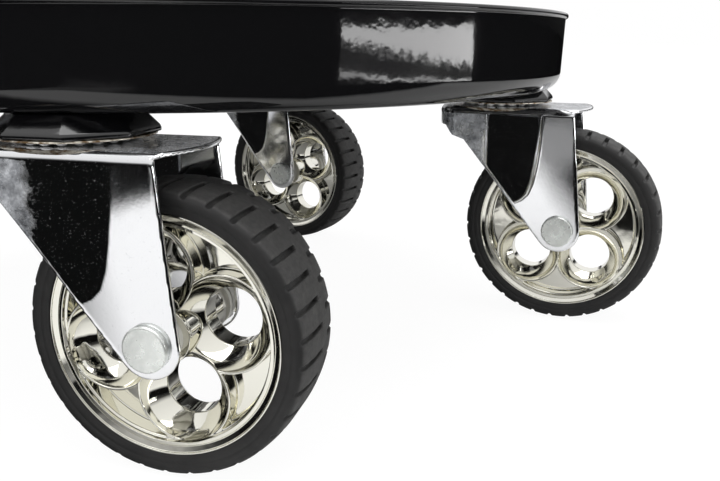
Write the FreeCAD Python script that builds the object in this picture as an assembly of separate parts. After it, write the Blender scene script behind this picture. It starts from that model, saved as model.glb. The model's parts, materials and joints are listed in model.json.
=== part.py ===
import FreeCAD, Part
import math
import os

# Round mechanic's creeper seat: a steel tool tray on four swivel casters, a gas
# column in its middle and a padded round seat on top. Millimetres, +Z up. The origin
# is on the floor under the column. The front caster is towards -Y.

# Wheels
WHEEL_R = 63.5
TREAD_HALF_W = 20.0
TREAD_BAND_HALF_W = 2.6
TREAD_FLAT_HALF_W = 10.0
TREAD_DROP = 0.8
SHOULDER_HALF_W = 17.4
SHOULDER_SIDE_DROP = 4.6
TREAD_SLOTS = 34
TREAD_SLOT_W = 3.2
TREAD_SLOT_DEPTH = 2.9
TYRE_DEPTH = 10.5
BEAD_H = 3.5
RIM_FACE_HALF_W = 18.9
RIM_FLANGE_T = 2.2
RIM_RING_T = 7.4
RIM_EDGE_T = 1.8
RIM_GROOVE_W = 2.8
RIM_GROOVE_DEPTH = 1.8
WEB_HALF_W = 15.5
POCKETS = 4
POCKET_INNER_R = 8.8
POCKET_OVER_RING = 0.4
POCKET_TAPER = 6.2
POCKET_HOLE_HALF_W = 5.0
POCKET_WALL = 1.9
FAN_DEPTH = 7.5
HUB_BOSS_R = 12.6
HUB_BOSS_HALF_W = 24.5

# Axle and hub
AXLE_R = 5.0
AXLE_HEAD_R = 9.9
AXLE_HEAD_H = 3.0
SLEEVE_WALL = 2.5
BUSH_WALL = 2.0
BUSH_FLANGE_R = 11.6
RUN_CLEAR = 0.05
SIDE_CLEAR = 0.3

# Fork, pressed from one sheet
FORK_SHEET = 2.5
FORK_HALF_W = 30.0
FORK_TRAIL = 45.0
FORK_OVER_WHEEL = 12.5
FORK_FRONT_R = 41.0
FORK_LIP_H = 13.5
FORK_LOBE_R = 14.0
FORK_BEND_R = 5.0
FORK_TONGUE = 15.0
FORK_REAR_TOP = 6.5
FORK_VALLEY_BACK = 22.0
FORK_VALLEY_H = 22.0
FORK_LIP_LENGTH = 8.5

# Swivel bearing and stem
BALL_R = 3.175
BALL_RING_R = 24.0
BALLS = 22
BALL_CLEAR = 0.12
CUP_LIFT = 3.0
CUP_H = 10.0
CUP_SIDE_H = 2.4
CUP_CORNER_R = 35.0
CUP_TOP_CORNER_R = 27.6
CUP_CORNERS = 8
CUP_WALL = 4.0
CUP_ROOF_T = 2.5
RACE_T = 0.8
RACE_OUT_R = 33.2
STEM_R = 6.0
STEM_COLLAR_R = 10.0
STEM_HEAD_R = 10.0
STEM_HEAD_H = 3.0
STEM_ABOVE_NUT = 6.0
CASTER_NUT_AF = 19.0
CASTER_NUT_H = 10.0
CASTER_WASHER_T = 2.6
CASTER_WASHER_R = 10.4
SPLIT_GAP = 1.6

# Tray
TRAY_R = 241.5
TRAY_H = 45.0
TRAY_LEAN = 1.2
TRAY_SHEET = 1.5
TRAY_CORNER_R = 11.0
TRAY_LIP_T = 1.6
TRAY_LIP_H = 3.2
SWIVEL_INSET = 34.5
HOLE_CLEAR = 0.2
PAD_H = 0.5
STEM_PAD_R = 13.0
SOCKET_PAD_EDGE = 2.5

# Casters by name, with the way each one trails, the turn of its wheel and of its cup, in degrees
CASTERS = ("front", "right", "rear", "left")
CASTER_HEADING_DEG = (-11.5, -18.5, -25.0, 165.0)
WHEEL_TURN_DEG = (14.5, 45.0, 31.0, 8.0)
CUP_TURN_DEG = (13.5, 5.0, 31.0, 20.0)

# Column socket on the tray floor
SOCKET_FLANGE_R = 60.0
SOCKET_FLANGE_T = 4.0
SOCKET_WALL = 5.0
SOCKET_H = 58.0
GUSSETS = 4
GUSSET_T = 4.0
GUSSET_H = 34.0
GUSSET_EDGE = 4.0
SOCKET_BOLTS = 4
SOCKET_BOLT_CIRCLE_R = 46.0
SOCKET_BOLT_R = 4.0
SOCKET_BOLT_AF = 13.0
SOCKET_BOLT_HEAD_H = 5.3
SOCKET_NUT_H = 6.5

# Gas column
STROKE = 120.0
COLUMN_R = 25.0
COLUMN_WALL = 1.5
COLUMN_BASE_T = 4.0
COLUMN_BELOW_TRAY = 5.0
COLUMN_END_ROOM = 70.0
COLUMN_TAPER = 0.8
COLUMN_FIT = 0.03
BUSHING_GRIP = 78.0
BUSHING_LIP_T = 2.0
TUBE_R = 14.0
TUBE_WALL = 2.5
TUBE_TAPER = 0.9
TUBE_TAPER_H = 36.0
TUBE_ABOVE_COLUMN = 42.0
TUBE_CAP_T = 32.0
SEAL_H = 20.0
ROD_R = 5.0
ROD_COLLAR_R = 8.0
ROD_COLLAR_H = 2.0
ROD_END = 4.0
ROD_GROOVE_DEPTH = 0.8
CLIP_T = 1.4
CLIP_R = 8.8
CLIP_GAP_DEG = 80.0
PISTON_CLEAR = 0.08
PISTON_H = 16.0
PISTON_ROOM = 5.0
BUMPER_R = 10.5
BUMPER_H = 9.0
BUMPER_CLEAR = 1.0
THRUST_R = 14.0
THRUST_WASHER_T = 1.5
THRUST_BALL_R = 2.0
THRUST_BALL_RING_R = 10.0
THRUST_BALLS = 12
BUTTON_R = 3.95
BUTTON_ABOVE = 5.0
BUTTON_TRAVEL_ROOM = 6.0
BUTTON_LENGTH = 24.0

# Seat plate and release lever
PLATE_T = 2.5
PLATE_HALF = 86.0
PLATE_CORNER_R = 14.0
PLATE_BOX_HALF_X = 52.0
PLATE_BOX_HALF_Y = 31.0
PLATE_BOX_H = 25.5
HUB_WALL = 5.0
HUB_H = 34.0
TUBE_ABOVE_FLOOR = 2.5
SEAT_BOLT_HALF = 70.0
SEAT_BOLT_R = 4.0
SEAT_BOLT_AF = 13.0
SEAT_BOLT_HEAD_H = 5.3
LEVER_ARM = 24.0
LEVER_BAR_HALF_W = 6.0
LEVER_BAR_T = 7.0
LEVER_NUB_R = 3.5
LEVER_GAP = 0.2
LEVER_EYE_R = 6.5
LEVER_ROD_R = 4.0
LEVER_DROP = 21.0
LEVER_BEND_RUN = 26.0
LEVER_BEND_R = 14.0
LEVER_REACH = 208.0
LEVER_SLOT_HALF_W = 8.0
LEVER_SLOT_H = 17.0
GRIP_R = 8.0
GRIP_LENGTH = 52.0
GRIP_END = 6.0
PIN_R = 3.0
PIN_HEAD_R = 5.0
PIN_HEAD_T = 1.6

# Seat
BOARD_INSET = 12.0
BOARD_T = 12.0
TNUT_R = 5.4
TNUT_FLANGE_R = 9.5
TNUT_FLANGE_T = 1.2
CUSHION_R = 180.0
CUSHION_NECK = 4.5
CUSHION_H = 56.0
CUSHION_CROWN = 19.0
DOME_R_SHARE = 0.72
DOME_DROP_SHARE = 0.34
CUSHION_EDGE_R = 4.0
CUSHION_CLEAR = 0.3
COVER_T = 1.4
PIPING_R = 3.0

# How far a cutting tool runs past what it cuts
PAST = 2.0

# Levels worked out from the sizes above
SLEEVE_R = AXLE_R + SLEEVE_WALL
BUSH_R = SLEEVE_R + RUN_CLEAR + BUSH_WALL
TYRE_BEAD_R = WHEEL_R - TYRE_DEPTH
TYRE_SEAT_R = TYRE_BEAD_R - BEAD_H
RIM_GROOVE_OUT_R = TYRE_BEAD_R - RIM_EDGE_T
RIM_GROOVE_IN_R = RIM_GROOVE_OUT_R - RIM_GROOVE_W
RIM_RING_IN_R = TYRE_BEAD_R - RIM_RING_T
POCKET_REACH_R = RIM_RING_IN_R + POCKET_OVER_RING
POCKET_MOUTH_R = (POCKET_REACH_R - POCKET_INNER_R) / 2
POCKET_CENTRE_R = (POCKET_REACH_R + POCKET_INNER_R) / 2
POCKET_HOLE_R = POCKET_MOUTH_R - POCKET_TAPER
FORK_IN_HALF_W = FORK_HALF_W - FORK_SHEET
AXLE_Z = WHEEL_R
FORK_UNDER_Z = 2 * WHEEL_R + FORK_OVER_WHEEL
FORK_TOP_Z = FORK_UNDER_Z + FORK_SHEET
BALL_Z = FORK_TOP_Z + BALL_CLEAR + BALL_R
CUP_BOTTOM_Z = FORK_TOP_Z + CUP_LIFT
CUP_ROOF_Z = BALL_Z + BALL_R + BALL_CLEAR
TRAY_BOTTOM_Z = CUP_BOTTOM_Z + CUP_H
TRAY_FLOOR_Z = TRAY_BOTTOM_Z + TRAY_SHEET
TRAY_TOP_Z = TRAY_BOTTOM_Z + TRAY_H
PAD_UNDER_Z = TRAY_BOTTOM_Z + PAD_H
PAD_TOP_Z = TRAY_FLOOR_Z + PAD_H
SWIVEL_CIRCLE_R = TRAY_R - SWIVEL_INSET
COLUMN_BOTTOM_Z = TRAY_BOTTOM_Z - COLUMN_BELOW_TRAY
COLUMN_TOP_Z = COLUMN_BOTTOM_Z + STROKE + COLUMN_END_ROOM
SOCKET_TOP_Z = PAD_TOP_Z + SOCKET_H
THRUST_Z = COLUMN_BOTTOM_Z + COLUMN_BASE_T + RUN_CLEAR
THRUST_H = 2 * THRUST_WASHER_T + 2 * THRUST_BALL_R
COLLAR_Z = THRUST_Z + THRUST_H
BUMPER_Z = COLLAR_Z + ROD_COLLAR_H
TUBE_BOTTOM_Z = BUMPER_Z + BUMPER_H + BUMPER_CLEAR
TUBE_TOP_Z = COLUMN_TOP_Z + TUBE_ABOVE_COLUMN
TUBE_IN_R = TUBE_R - TUBE_WALL
PISTON_Z = TUBE_BOTTOM_Z + SEAL_H + STROKE + PISTON_ROOM
BOX_FLOOR_Z = TUBE_TOP_Z - TUBE_ABOVE_FLOOR
BUTTON_TOP_Z = TUBE_TOP_Z + BUTTON_ABOVE
PIVOT_Z = BUTTON_TOP_Z + LEVER_GAP + LEVER_NUB_R
PLATE_TOP_Z = BOX_FLOOR_Z - PLATE_T + PLATE_BOX_H
BOARD_TOP_Z = PLATE_TOP_Z + BOARD_T
BOARD_R = CUSHION_R - BOARD_INSET


def vec(x, y, z):
    return FreeCAD.Vector(x, y, z)


ORIGIN = vec(0, 0, 0)
X_DIR = vec(1, 0, 0)
Y_DIR = vec(0, 1, 0)
Z_DIR = vec(0, 0, 1)
FULL = 360.0


def turned(shape, degrees, axis=Z_DIR, at=ORIGIN):
    out = shape.copy()
    out.rotate(at, axis, degrees)
    return out


def moved(shape, x, y, z):
    out = shape.copy()
    out.translate(vec(x, y, z))
    return out


def rod(radius, low, high, x=0.0, y=0.0):
    return Part.makeCylinder(radius, high - low, vec(x, y, low), Z_DIR)


def sleeve(inner, outer, low, high, x=0.0, y=0.0):
    return rod(outer, low, high, x, y).cut(rod(inner, low - PAST, high + PAST, x, y))


def cross_rod(radius, low, high, x, z):
    return Part.makeCylinder(radius, high - low, vec(x, low, z), Y_DIR)


def block(x0, x1, y0, y1, z0, z1):
    return Part.makeBox(x1 - x0, y1 - y0, z1 - z0, vec(x0, y0, z0))


def prism(points, low, high):
    """Flat outline of (x, y) points, raised from low to high."""
    face = Part.Face(Part.makePolygon([vec(x, y, low) for x, y in points + points[:1]]))
    return face.extrude(vec(0, 0, high - low))


def regular(corners, radius, low, high, turn_deg=0.0):
    step = FULL / corners
    angles = [math.radians(turn_deg + step * i) for i in range(corners)]
    return prism([(radius * math.cos(a), radius * math.sin(a)) for a in angles], low, high)


def hexagon(across_flats, low, high):
    return regular(6, across_flats / math.sqrt(3), low, high)


def spun(points):
    """Closed outline of (radius, z) points, turned once round Z."""
    face = Part.Face(Part.makePolygon([vec(r, 0, z) for r, z in points + points[:1]]))
    return face.revolve(ORIGIN, Z_DIR, FULL)


def spun_edges(edges):
    face = Part.Face(Part.Wire(edges))
    return face.revolve(ORIGIN, Z_DIR, FULL)


def line(a, b):
    return Part.LineSegment(vec(*a), vec(*b)).toShape()


def arc(a, b, c):
    return Part.Arc(vec(*a), vec(*b), vec(*c)).toShape()


def ring_of(shape, count, radius, first_deg=0.0):
    """Copies of a shape at the origin, set round a circle."""
    step = FULL / count
    out = moved(shape, radius, 0, 0)
    return [turned(out, first_deg + step * i) for i in range(count)]


def joined(shapes):
    return shapes[0].fuse(shapes[1:]).removeSplitter() if len(shapes) > 1 else shapes[0]


# A wheel lies flat while it is made: its axle runs along Z and its middle is the origin

def mirrored_outline(half):
    """Outline from its upper half: (radius, z) points, from the inside out."""
    return half + [(r, -z) for r, z in reversed(half)]


def make_tyre():
    shoulder_r = WHEEL_R - TREAD_DROP
    side_r = shoulder_r - SHOULDER_SIDE_DROP
    flange_in = RIM_FACE_HALF_W - RIM_FLANGE_T
    body = spun(mirrored_outline([
        (TYRE_SEAT_R, flange_in),
        (TYRE_BEAD_R, flange_in),
        (TYRE_BEAD_R, RIM_FACE_HALF_W),
        (side_r, TREAD_HALF_W),
        (side_r + SHOULDER_SIDE_DROP / 2, TREAD_HALF_W),
        (shoulder_r, SHOULDER_HALF_W),
        (WHEEL_R, TREAD_FLAT_HALF_W),
    ]))
    slot = block(WHEEL_R - TREAD_SLOT_DEPTH, WHEEL_R + PAST,
                 -TREAD_SLOT_W / 2, TREAD_SLOT_W / 2,
                 TREAD_BAND_HALF_W, TREAD_HALF_W + PAST)
    step = FULL / TREAD_SLOTS
    slots = []
    for i in range(TREAD_SLOTS):
        slots.append(turned(slot, step * i))
        slots.append(turned(turned(slot, FULL / 2, X_DIR), step * (i + 1 / 2)))
    return body.cut(Part.makeCompound(slots))


def rim_side_cuts():
    """Everything sunk into one face of the rim: pockets, fans and the bead groove."""
    pocket_len = WEB_HALF_W - POCKET_HOLE_HALF_W
    grow = (POCKET_MOUTH_R - POCKET_HOLE_R) * PAST / pocket_len
    bowl = Part.makeCone(POCKET_HOLE_R, POCKET_MOUTH_R + grow, pocket_len + PAST,
                         vec(0, 0, POCKET_HOLE_HALF_W), Z_DIR)
    bowls = ring_of(bowl, POCKETS, POCKET_CENTRE_R)
    fan_floor = WEB_HALF_W - FAN_DEPTH
    fan = rod(RIM_RING_IN_R - POCKET_WALL / 2, fan_floor, WEB_HALF_W + PAST)
    wall = rod(POCKET_MOUTH_R + POCKET_WALL, fan_floor - PAST, WEB_HALF_W + 2 * PAST)
    keep = ring_of(wall, POCKETS, POCKET_CENTRE_R)
    keep.append(rod(HUB_BOSS_R + POCKET_WALL, fan_floor - PAST, WEB_HALF_W + 2 * PAST))
    fans = fan.cut(keep)
    groove = sleeve(RIM_GROOVE_IN_R, RIM_GROOVE_OUT_R,
                    RIM_FACE_HALF_W - RIM_GROOVE_DEPTH, RIM_FACE_HALF_W + PAST)
    return bowls + fans.Solids + [groove]


def make_rim():
    flange_in = RIM_FACE_HALF_W - RIM_FLANGE_T
    body = spun(mirrored_outline([
        (BUSH_R, HUB_BOSS_HALF_W),
        (HUB_BOSS_R, HUB_BOSS_HALF_W),
        (HUB_BOSS_R, WEB_HALF_W),
        (RIM_RING_IN_R, WEB_HALF_W),
        (RIM_RING_IN_R, RIM_FACE_HALF_W),
        (TYRE_BEAD_R, RIM_FACE_HALF_W),
        (TYRE_BEAD_R, flange_in),
        (TYRE_SEAT_R, flange_in),
    ]))
    holes = ring_of(rod(POCKET_HOLE_R, -WEB_HALF_W, WEB_HALF_W), POCKETS, POCKET_CENTRE_R)
    upper = rim_side_cuts()
    lower = [turned(cut, FULL / 2, X_DIR) for cut in upper]
    return body.cut(holes + upper + lower)


def make_hub_bush():
    inner = SLEEVE_R + RUN_CLEAR
    end = FORK_IN_HALF_W - SIDE_CLEAR
    return spun(mirrored_outline([
        (inner, end),
        (BUSH_FLANGE_R, end),
        (BUSH_FLANGE_R, HUB_BOSS_HALF_W),
        (BUSH_R, HUB_BOSS_HALF_W),
    ]))


def stood(shape):
    """Stands a wheel piece up, its axle along Y, on the fork's axle."""
    return moved(turned(shape, FULL / 4, X_DIR), FORK_TRAIL, 0, AXLE_Z)


# A caster is made with its swivel axis on Z and its wheel trailing towards +X

def make_axle():
    end = FORK_HALF_W + AXLE_HEAD_H
    pin = cross_rod(AXLE_R, -end, end, FORK_TRAIL, AXLE_Z)
    head = cross_rod(AXLE_HEAD_R, FORK_HALF_W, end, FORK_TRAIL, AXLE_Z)
    head = rounded_rims(head, AXLE_HEAD_H / 3, lambda e: flat_edge_at(e, end))
    far = turned(head, FULL / 2, X_DIR, vec(FORK_TRAIL, 0, AXLE_Z))
    return joined([pin, head, far])


def flat_edge_at(edge, y):
    box = edge.BoundBox
    return abs(box.YMin - y) < RUN_CLEAR and abs(box.YMax - y) < RUN_CLEAR


def rounded_rims(shape, radius, chosen):
    return shape.makeFillet(radius, [e for e in shape.Edges if chosen(e)])


def make_axle_sleeve():
    outer = cross_rod(SLEEVE_R, -FORK_IN_HALF_W, FORK_IN_HALF_W, FORK_TRAIL, AXLE_Z)
    end = FORK_IN_HALF_W + PAST
    return outer.cut(cross_rod(AXLE_R, -end, end, FORK_TRAIL, AXLE_Z))


def fork_block(inset, low, back):
    """Solid under the fork's skin: straight sides and a front round the swivel axis."""
    half = FORK_HALF_W - inset
    front = FORK_FRONT_R - inset
    start = -math.sqrt(front ** 2 - half ** 2)
    top = FORK_TOP_Z - inset
    edges = [
        line((back, -half, low), (start, -half, low)),
        arc((start, -half, low), (-front, 0, low), (start, half, low)),
        line((start, half, low), (back, half, low)),
        line((back, half, low), (back, -half, low)),
    ]
    body = Part.Face(Part.Wire(edges)).extrude(vec(0, 0, top - low))
    rims = []
    for edge in body.Edges:
        box = edge.BoundBox
        on_top = abs(box.ZMin - top) < RUN_CLEAR and abs(box.ZMax - top) < RUN_CLEAR
        if on_top and box.XMin < back - PAST:
            rims.append(edge)
    return body.makeFillet(FORK_BEND_R - inset, rims)


def tangent_point(px, pz, cx, cz, radius, side):
    """Where a line from (px, pz) touches a circle, on the side of +1 or -1."""
    away = math.hypot(px - cx, pz - cz)
    base = math.atan2(pz - cz, px - cx)
    turn = side * math.acos(radius / away)
    return cx + radius * math.cos(base + turn), cz + radius * math.sin(base + turn)


def fork_side_profile():
    """What the side view keeps of the fork's skin, as a slab across the fork."""
    x0, z0 = FORK_TRAIL, AXLE_Z
    rear_x = FORK_TRAIL + FORK_REAR_TOP
    lip_z = FORK_TOP_Z - FORK_LIP_H
    lip_x = FORK_LIP_LENGTH - FORK_FRONT_R
    valley_x = FORK_VALLEY_BACK - FORK_FRONT_R
    valley_z = FORK_TOP_Z - FORK_VALLEY_H
    y = -FORK_HALF_W - PAST
    touch_f = tangent_point(valley_x, valley_z, x0, z0, FORK_LOBE_R, 1)
    touch_r = tangent_point(rear_x, FORK_UNDER_Z, x0, z0, FORK_LOBE_R, -1)
    low = (x0, y, z0 - FORK_LOBE_R)
    far_x = -FORK_FRONT_R - PAST
    top_z = FORK_TOP_Z + PAST
    end_x = x0 + FORK_TONGUE + PAST
    bend_x = (lip_x + valley_x) / 2 + (lip_z - valley_z) / 8
    bend_z = (lip_z + valley_z) / 2 + (valley_x - lip_x) / 8
    edges = [
        line((far_x, y, top_z), (far_x, y, lip_z)),
        line((far_x, y, lip_z), (lip_x, y, lip_z)),
        arc((lip_x, y, lip_z), (bend_x, y, bend_z), (valley_x, y, valley_z)),
        line((valley_x, y, valley_z), (touch_f[0], y, touch_f[1])),
        arc((touch_f[0], y, touch_f[1]), low, (touch_r[0], y, touch_r[1])),
        line((touch_r[0], y, touch_r[1]), (rear_x, y, FORK_UNDER_Z)),
        line((rear_x, y, FORK_UNDER_Z), (end_x, y, FORK_UNDER_Z)),
        line((end_x, y, FORK_UNDER_Z), (end_x, y, top_z)),
        line((end_x, y, top_z), (far_x, y, top_z)),
    ]
    return Part.Face(Part.Wire(edges)).extrude(vec(0, -2 * y, 0))


def tongue_trim():
    """Cuts the back of the top plate to a round tongue."""
    rear = FORK_TRAIL + FORK_REAR_TOP
    tip = FORK_TRAIL + FORK_TONGUE
    side = FORK_HALF_W + PAST
    out = tip + 2 * PAST
    low = FORK_UNDER_Z - RUN_CLEAR
    edges = [
        arc((rear, -side, low), (tip, 0, low), (rear, side, low)),
        line((rear, side, low), (out, side, low)),
        line((out, side, low), (out, -side, low)),
        line((out, -side, low), (rear, -side, low)),
    ]
    return Part.Face(Part.Wire(edges)).extrude(vec(0, 0, FORK_SHEET + PAST))


def make_fork():
    low = AXLE_Z - FORK_LOBE_R - PAST
    back = FORK_TRAIL + FORK_LOBE_R + 2 * PAST
    skin = fork_block(0, low, back).cut(fork_block(FORK_SHEET, low - PAST, back + PAST))
    fork = skin.common(fork_side_profile()).cut(tongue_trim())
    end = FORK_HALF_W + PAST
    fork = fork.cut(cross_rod(AXLE_R, -end, end, FORK_TRAIL, AXLE_Z))
    return fork.cut(rod(STEM_R + RUN_CLEAR, FORK_UNDER_Z - PAST, FORK_TOP_Z + PAST))


def make_swivel_cup():
    """Eight-sided pressed cup: sloping facets over a short upright side."""
    side = regular(CUP_CORNERS, CUP_CORNER_R, CUP_BOTTOM_Z, CUP_BOTTOM_Z + CUP_SIDE_H)

    def ring(radius, z):
        step = FULL / CUP_CORNERS
        angles = [math.radians(step * i) for i in range(CUP_CORNERS + 1)]
        return Part.makePolygon([vec(radius * math.cos(a), radius * math.sin(a), z) for a in angles])

    slope = Part.makeLoft([ring(CUP_CORNER_R, CUP_BOTTOM_Z + CUP_SIDE_H),
                           ring(CUP_TOP_CORNER_R, TRAY_BOTTOM_Z)], True, True)
    cup = joined([side, slope])
    skirt_r = BALL_RING_R + BALL_R + RUN_CLEAR + BALL_CLEAR
    roof_z = TRAY_BOTTOM_Z - CUP_ROOF_T
    hollow = spun([
        (0, CUP_BOTTOM_Z - PAST),
        (skirt_r, CUP_BOTTOM_Z - PAST),
        (skirt_r, CUP_ROOF_Z),
        (BALL_RING_R - BALL_R, CUP_ROOF_Z),
        (BALL_RING_R - BALL_R - CUP_WALL, roof_z),
        (0, roof_z),
    ])
    return cup.cut([hollow, rod(STEM_R, CUP_BOTTOM_Z, TRAY_BOTTOM_Z + PAST)])


def make_swivel_bearing():
    ball = moved(Part.makeSphere(BALL_R), 0, 0, BALL_Z)
    race_in = BALL_RING_R + BALL_R + BALL_CLEAR + RUN_CLEAR
    race = sleeve(race_in, RACE_OUT_R, CUP_BOTTOM_Z - RACE_T, CUP_BOTTOM_Z)
    return [race] + ring_of(ball, BALLS, BALL_RING_R)


def make_stem():
    """Stem with a riveted head under the fork, a collar under the cup and a plain end."""
    nut_top = PAD_TOP_Z + CASTER_WASHER_T + CASTER_NUT_H
    head_z = FORK_UNDER_Z - SIDE_CLEAR
    roof_z = TRAY_BOTTOM_Z - CUP_ROOF_T
    end_z = nut_top + STEM_ABOVE_NUT
    bevel = STEM_R / 6
    return spun([
        (0, head_z - STEM_HEAD_H),
        (STEM_HEAD_R - STEM_HEAD_H / 2, head_z - STEM_HEAD_H),
        (STEM_HEAD_R, head_z - STEM_HEAD_H / 2),
        (STEM_HEAD_R, head_z),
        (STEM_R, head_z),
        (STEM_R, FORK_TOP_Z + SIDE_CLEAR),
        (STEM_COLLAR_R, FORK_TOP_Z + SIDE_CLEAR),
        (STEM_COLLAR_R, roof_z),
        (STEM_R, roof_z),
        (STEM_R, end_z - bevel),
        (STEM_R - bevel, end_z),
        (0, end_z),
    ])


def bevelled_nut(across_flats, bore, low, high):
    corner = across_flats / math.sqrt(3)
    drop = (corner - across_flats / 2) / math.sqrt(3)
    cone = spun([
        (0, low),
        (corner + RUN_CLEAR, low),
        (corner + RUN_CLEAR, high - drop),
        (across_flats / 2, high),
        (0, high),
    ])
    return hexagon(across_flats, low, high).common(cone).cut(rod(bore, low - PAST, high + PAST))


def make_caster_washer():
    ring = sleeve(STEM_R + HOLE_CLEAR, CASTER_WASHER_R, PAD_TOP_Z, PAD_TOP_Z + CASTER_WASHER_T)
    return ring.cut(block(0, CASTER_WASHER_R + PAST, -SPLIT_GAP / 2, SPLIT_GAP / 2,
                          PAD_TOP_Z - PAST, PAD_TOP_Z + CASTER_WASHER_T + PAST))


def caster_spots():
    """Place and turns of each caster, front first, then round to the left."""
    for i, name in enumerate(CASTERS):
        angle = math.radians(FULL * i / len(CASTERS) - FULL / 4)
        yield (name, SWIVEL_CIRCLE_R * math.cos(angle), SWIVEL_CIRCLE_R * math.sin(angle),
               CASTER_HEADING_DEG[i], WHEEL_TURN_DEG[i], CUP_TURN_DEG[i])


# The tray and what stands in it

def pressed_up(pan, radius, x, y):
    """Low round pad pressed up in the tray floor, which leaves a recess below it."""
    pad = rod(radius, TRAY_FLOOR_Z - TRAY_SHEET / 2, PAD_TOP_Z, x, y)
    recess = rod(radius - TRAY_SHEET, TRAY_BOTTOM_Z - PAST, PAD_UNDER_Z, x, y)
    return pan.fuse(pad).cut(recess)


def make_tray():
    """Pressed round pan with a rounded lower corner, a rolled lip and bolting pads."""
    c = TRAY_CORNER_R
    t = TRAY_SHEET
    low_r = TRAY_R - TRAY_LEAN
    half = math.sqrt(0.5)
    top_in = TRAY_TOP_Z - TRAY_LIP_H

    def point(r, z):
        return (r, 0, z)

    outer_mid = point(low_r - c + c * half, TRAY_BOTTOM_Z + c - c * half)
    inner_mid = point(low_r - c + (c - t) * half, TRAY_BOTTOM_Z + c - (c - t) * half)
    lip_mid = point(TRAY_R + TRAY_LIP_T, top_in + TRAY_LIP_H / 2)
    edges = [
        line(point(0, TRAY_BOTTOM_Z), point(low_r - c, TRAY_BOTTOM_Z)),
        arc(point(low_r - c, TRAY_BOTTOM_Z), outer_mid, point(low_r, TRAY_BOTTOM_Z + c)),
        line(point(low_r, TRAY_BOTTOM_Z + c), point(TRAY_R, top_in)),
        arc(point(TRAY_R, top_in), lip_mid, point(TRAY_R, TRAY_TOP_Z)),
        line(point(TRAY_R, TRAY_TOP_Z), point(TRAY_R - t, TRAY_TOP_Z)),
        line(point(TRAY_R - t, TRAY_TOP_Z), point(low_r - t, TRAY_BOTTOM_Z + c)),
        arc(point(low_r - t, TRAY_BOTTOM_Z + c), inner_mid, point(low_r - c, TRAY_FLOOR_Z)),
        line(point(low_r - c, TRAY_FLOOR_Z), point(0, TRAY_FLOOR_Z)),
        line(point(0, TRAY_FLOOR_Z), point(0, TRAY_BOTTOM_Z)),
    ]
    pan = pressed_up(spun_edges(edges), SOCKET_FLANGE_R + SOCKET_PAD_EDGE, 0, 0)
    for _, x, y, *_ in caster_spots():
        pan = pressed_up(pan, STEM_PAD_R, x, y)
    low, high = TRAY_BOTTOM_Z - PAST, PAD_TOP_Z + PAST
    cuts = [rod(STEM_R + HOLE_CLEAR, low, high, x, y) for _, x, y, *_ in caster_spots()]
    cuts += ring_of(rod(SOCKET_BOLT_R + HOLE_CLEAR, low, high), SOCKET_BOLTS,
                    SOCKET_BOLT_CIRCLE_R, FULL / SOCKET_BOLTS / 2)
    cuts.append(rod(COLUMN_R + HOLE_CLEAR, low, high))
    return pan.cut(cuts)


def column_outer_r(z):
    """Radius of the outer tube, which tapers where it stands in the socket."""
    share = (z - COLUMN_BOTTOM_Z) / (SOCKET_TOP_Z - COLUMN_BOTTOM_Z)
    return COLUMN_R - COLUMN_TAPER * (1 - min(1, share))


def make_socket():
    bottom, top = PAD_TOP_Z, SOCKET_TOP_Z
    flange_top = bottom + SOCKET_FLANGE_T
    outer = COLUMN_R + SOCKET_WALL
    socket = spun([
        (column_outer_r(bottom) + COLUMN_FIT, bottom),
        (SOCKET_FLANGE_R, bottom),
        (SOCKET_FLANGE_R, flange_top),
        (outer, flange_top),
        (outer, top),
        (column_outer_r(top) + COLUMN_FIT, top),
    ])
    holes = ring_of(rod(SOCKET_BOLT_R + HOLE_CLEAR, bottom - PAST, flange_top + PAST),
                    SOCKET_BOLTS, SOCKET_BOLT_CIRCLE_R, FULL / SOCKET_BOLTS / 2)
    return socket.cut(holes)


def make_gussets():
    low = PAD_TOP_Z + SOCKET_FLANGE_T
    near = COLUMN_R + SOCKET_WALL
    far = SOCKET_FLANGE_R - GUSSET_EDGE
    points = [(near, low), (far, low), (far, low + GUSSET_EDGE),
              (near + GUSSET_EDGE, low + GUSSET_H), (near, low + GUSSET_H)]
    outline = Part.makePolygon([vec(r, -GUSSET_T / 2, z) for r, z in points + points[:1]])
    rib = Part.Face(outline).extrude(vec(0, GUSSET_T, 0))
    rib = rib.cut(rod(near, low - PAST, low + GUSSET_H + PAST))
    return [turned(rib, FULL / GUSSETS * i) for i in range(GUSSETS)]


def hex_bolt(across_flats, head_h, radius, seat_z, end_z):
    """Bolt whose head rests on seat_z from above and whose shank ends below at end_z."""
    head = hexagon(across_flats, seat_z, seat_z + head_h)
    return joined([head, rod(radius, end_z, seat_z)])


def make_socket_bolts():
    seat = PAD_TOP_Z + SOCKET_FLANGE_T
    end = TRAY_BOTTOM_Z - SOCKET_NUT_H - PAST
    bolt = hex_bolt(SOCKET_BOLT_AF, SOCKET_BOLT_HEAD_H, SOCKET_BOLT_R, seat, end)
    return ring_of(bolt, SOCKET_BOLTS, SOCKET_BOLT_CIRCLE_R, FULL / SOCKET_BOLTS / 2)


def make_socket_nuts():
    nut = bevelled_nut(SOCKET_BOLT_AF, SOCKET_BOLT_R, -SOCKET_NUT_H, 0)
    nut = moved(nut, 0, 0, PAD_UNDER_Z)
    return ring_of(nut, SOCKET_BOLTS, SOCKET_BOLT_CIRCLE_R, FULL / SOCKET_BOLTS / 2)


# The gas column, from the outside in

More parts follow.
